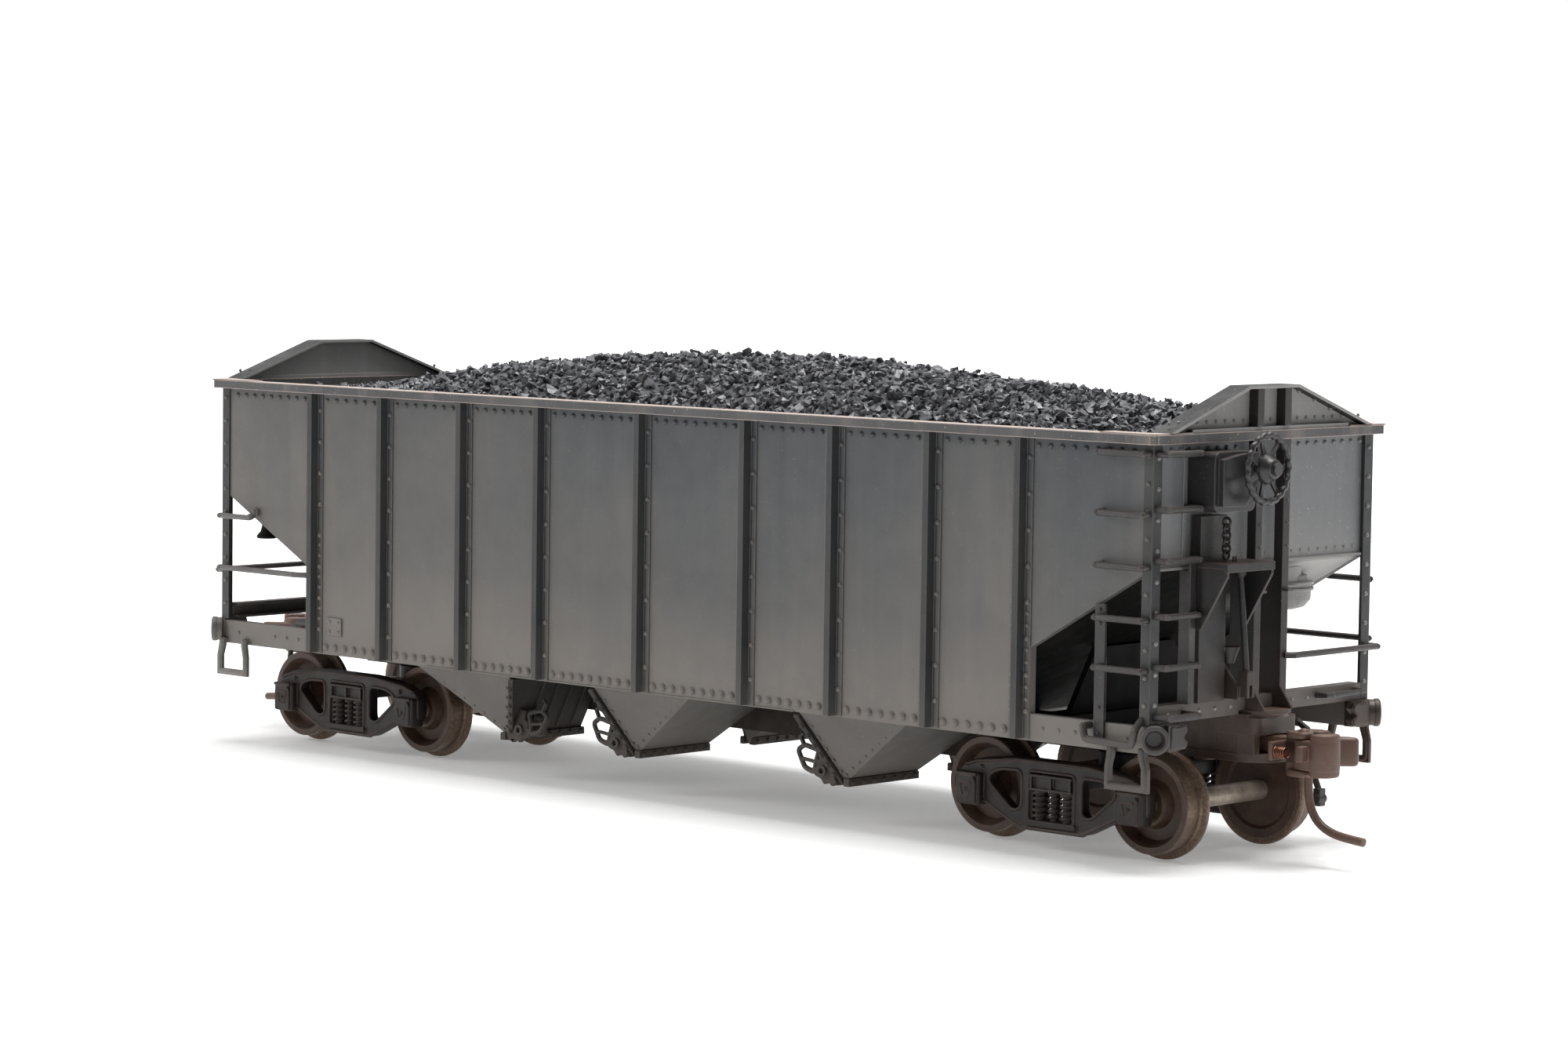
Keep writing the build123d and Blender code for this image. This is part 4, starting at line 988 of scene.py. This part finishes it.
# -------- knuckle springs
def knuckle_spring():
    """The small coil beside knuckle B, on its core."""
    s = Shape()
    coil = [(72.02 + 1.30 * share, -3.45 + 0.50 * c, 11.0 + 0.50 * d) for share, c, d in helix(6, 18)]
    s.tube(coil, 0.085, 6)
    s.lathe((72.0, -3.45, 11.0), TO_B, [(0, 0.3), (1.30, 0.3)], 12)
    return s


for end, shape in (("b", knuckle_spring()), ("a", knuckle_spring().turned())):
    coil = shape.piece("knuckle_coil_" + end, "copper", "coupler_" + end, "spring_copper")
    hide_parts("knuckle_spring_" + end)


# -------- end and bay details
def end_details():
    """Small clips and bolts of the B end."""
    s = Shape()
    for y in (-2.45, 1.85):
        clip = [(68.55, y - 0.1, 26.0), (69.15, y - 0.1, 26.0), (69.15, y + 0.65, 26.0),
                (68.55, y + 0.65, 26.0)]
        s.tube(clip, 0.16, 8)
    s.tube([(70.2, -8.3, 29.3), (70.2, -8.3, 29.75), (70.2, -7.9, 29.75), (70.2, -7.9, 29.3)], 0.11, 8)
    for y in (9.5, 14.2):
        s.bolt((68.9, y, 15.2), TO_B, *BOLT)
    return s


def corner_details():
    """Strap step, socket and end casting of the near B corner, over the plain ones."""
    s = Shape()
    step = [(63.3, 12.0), (63.3, 11.2), (63.05, 10.0), (63.05, 8.15), (67.5, 8.15), (67.5, 10.0),
            (67.1, 11.2), (67.1, 12.0)]
    s.tube(at_y(rounded(step, 0.5)[2:-2], -17.55), 0.36, 10)
    outward = Vector((0.7071, -0.7071, 0))
    cup = Vector((67.9, -16.9, 12.9)) + outward
    ring = [(-0.35, 1.38), (0.05, 1.42), (0.22, 1.28), (0.22, 1.02), (-0.2, 0.78), (-0.35, 0.72),
            (-0.35, 1.38)]
    s.lathe(cup, outward, ring, 26, cap=False)
    star = [(-15.6, 11.8), (-14.6, 11.95), (-13.5, 11.75), (-13.05, 12.3), (-13.75, 12.9), (-13.05, 13.6),
            (-13.5, 14.15), (-14.6, 13.95), (-15.6, 14.15)]
    add_block(s, star, 0.35, "yz", 68.3, 69.05, 0.14)
    return s


# outlines of the cast latch: distance out from the door, and height
LATCH_PLATE = ((0, 7.7), (0.9, 7.5), (1.2, 6.6), (1.9, 6.3), (2.2, 5.6), (3.0, 5.5), (2.8, 4.7),
               (2.1, 4.5), (1.9, 3.9), (1.2, 4.2), (0.8, 3.8), (0.3, 4.2), (0, 4.0))
LATCH_LOOP = ((1.3, 7.3), (3.1, 7.7), (4.3, 7.1), (4.1, 5.4), (2.9, 5.0), (2.3, 6.0))
LATCH_Y = -13.95


def lock_details():
    """Dark edge strip, lips and cast latch of each door on the near side."""
    s = Shape()
    out = Vector((0, -0.887, -0.463))
    for door_top, outlet, _, way in BAYS:
        lean = (door_top - outlet) / (SILL_Z - OUTLET_Z)

        def at(depth, z):
            return (outlet + lean * (z - OUTLET_Z) - way * (0.67 + depth), z)

        low, high = Vector((outlet, -13.45, 4.3)), Vector((door_top, -17.0, 11.2))
        wide = Vector((-way * 0.7, 0, 0))
        strip = [low, low + wide, high + wide, high]
        if way < 0:
            strip.reverse()
        s.prism(strip, out * 0.38, 0.1)
        for k in range(1, 7):
            s.bolt(low.lerp(high, k / 7) + wide * 0.5 + out * 0.35, out, 0.22, 0.26)
        for reach, depth in ((0.95, 0.75), (-1.15, 0.6)):
            outer = outlet + way * reach
            inner = outer - math.copysign(depth, way * reach)
            s.box(min(outer, inner), max(outer, inner), -14.0, -3.4, 3.98, 4.78, 0.12)
            for y in spread(-13.4, -4.0, 1.55):
                s.bolt((outer, y, 4.4), (math.copysign(1, way * reach), 0, 0), 0.2, 0.22)
        for y in (-5.4, -7.6, -9.8, -12.0):
            (x0, z0), (x1, z1) = at(0.0, 5.2), at(0.0, 10.6)
            s.tube([(x0, y, z0), (x1, y, z1)], 0.2, 8)
        add_block(s, [at(*p) for p in LATCH_PLATE], 0.22, "xz", -14.25, -13.6, 0.14)
        loop = rounded([at(*p) for p in LATCH_LOOP], 0.4)
        s.tube(at_y(loop, LATCH_Y), 0.27, 8, closed=True)
        s.tube(at_y([at(2.4, 6.1), at(4.2, 6.3)], LATCH_Y), 0.2, 8)
        s.tube(at_y([at(3.2, 7.6), at(3.3, 8.5), at(2.7, 8.9)], LATCH_Y), 0.24, 8)
        eye_x, eye_z = at(1.3, 5.35)
        s.lathe((eye_x, -14.6, eye_z), FAR, ring_profile(0.3, 0.6, 0.45), 18, cap=False)
    return s


corner = corner_details()
for name, paint, shape in (("bl", "iron", corner), ("br", "brown", corner.flipped()),
                           ("ar", "iron", corner.turned()), ("al", "iron_a", corner.flipped().turned())):
    shape.piece("corner_fittings_" + name, paint, "car_body", "iron_paint")
locks = lock_details()
locks.join(locks.flipped()).piece("door_latches", "door", "car_body", "under_paint")
ends = end_details()
ends.piece("end_fittings_b", "iron", "car_body", "iron_paint")


def drum_details():
    """The wide flanges and the dished foot of the air tank under slope B."""
    s = Shape()
    profile = [(0, 1.6), (0.3, 2.6), (1.0, 3.2), (1.9, 3.25), (1.95, 3.5), (2.2, 3.5),
               (2.25, 3.2), (2.5, 3.2), (2.55, 3.45), (2.8, 3.45), (2.85, 2.9), (3.4, 2.8)]
    s.lathe((62.9, 8.5, 23.35), UP, profile, 40)
    return s


def vent_bell():
    """A bell on a stem under slope A, beside the near side sheet."""
    s = Shape()
    profile = [(0, 1.05), (0.15, 1.17), (0.35, 1.1), (0.8, 0.72), (1.3, 0.58), (2.6, 0.5)]
    s.lathe((-62.6, -14.9, 23.5), UP, profile, 24)
    return s


drum_details().piece("air_tank_flanges_b", "drum", "car_body", "under_paint")
vent_bell().piece("vent_bell_a", "inner", "car_body", "under_paint")


def bay_details():
    """Flanges and rivets along the edges of the chutes on the near side."""
    s = Shape()
    for door_top, outlet, slope_top, way in BAYS:
        foot = Vector((outlet + way * 0.1, -13.55, 4.45))
        head = Vector((slope_top - way * 0.2, -16.95, 11.3))
        for k in range(1, 9):
            p = foot.lerp(head, k / 9)
            s.dome((p.x - way * 0.8, p.y - 0.02, p.z), (0, -0.9, -0.35), 0.16, 0.12)
        low = Vector((outlet - way * 0.15, -13.6, 4.3))
        high = Vector((door_top - way * 0.1, -17.0, 11.2))
        for k in range(1, 6):
            p = low.lerp(high, k / 6)
            s.dome((p.x + way * 0.65, p.y, p.z), (0, -0.9, -0.35), 0.18, 0.13)
    return s


bays = bay_details()
bays.join(bays.flipped())
bays.piece("bay_rivets", "under", "car_body", "under_paint")


# -------- floor, light
FLOOR_HALF = 6.0         # metres


def studio():
    """A white table that glows as painted light, more away from the car, under a white sky, brighter for the
    lens than as a lamp, and two area lamps.
    """
    mesh = bpy.data.meshes.new("floor")
    corners = [(x, y, 0) for x, y in box_loop(-FLOOR_HALF, FLOOR_HALF, -FLOOR_HALF, FLOOR_HALF)]
    mesh.from_pydata(corners, [], [(0, 1, 2, 3)])
    s = Shader("floor_white_glow")
    # painted light: the floor glows, weakly near the car so the shadow under it is lifted, at full strength
    # further out, and unevenly with the grit
    far = s.add("VectorMath", {0: s.coord.outputs["Object"]}, operation="LENGTH").outputs["Value"]
    grit = s.ramp(s.noise(1500.0, 3.0, 0.75), 0.32, 0.68)
    glow_grit = s.plus(s.times(grit, 0.2), 0.9)
    floor_glow = s.times(s.ramp(far, 0.22, 0.75, 0.24, 1.0), glow_grit)
    tone = s.mix(grit, (0.78, 0.78, 0.77), (0.92, 0.92, 0.915))
    white = s.finish(tone, 0.6, Emission_Color=(1.0, 1.0, 0.99, 1.0), Emission_Strength=floor_glow)
    mesh.materials.append(white)
    floor = add_object("floor", mesh)

    s = Shader("studio", world=True)
    white = (1.0, 1.0, 1.0, 1.0)
    facing = s.add("VectorMath", {0: s.coord.outputs["Generated"], 1: (-0.62, 0.70, 0.35)},
                   operation="DOT_PRODUCT").outputs["Value"]
    lit = s.add("Background", {"Color": white, "Strength": s.ramp(facing, -0.75, 0.55, 0.08, 0.70)})
    seen = s.add("Background", {"Color": white, "Strength": 1.0})
    to_lens = s.add("LightPath").outputs["Is Camera Ray"]
    pick = s.add("MixShader", {0: to_lens, 1: lit.outputs[0], 2: seen.outputs[0]})
    s.put(s.out.inputs[0], pick.outputs[0])
    bpy.context.scene.world = s.owner

    def area(name, place, target, width, watts):
        light = bpy.data.lights.new(name, "AREA")
        light.shape = "SQUARE"
        light.size = width
        light.energy = watts
        obj = add_object(name, light)
        obj.location = place
        obj.rotation_euler = (Vector(target) - Vector(place)).to_track_quat("-Z", "Y").to_euler()

    area("top", (0.05, 0.12, 0.85), (0, 0, 0.02), 0.55, 9.5)
    area("left", (-0.55, -0.55, 0.45), (-0.02, 0, 0.02), 0.35, 2.0)
    bpy.context.scene.view_settings.view_transform = "Standard"


studio()
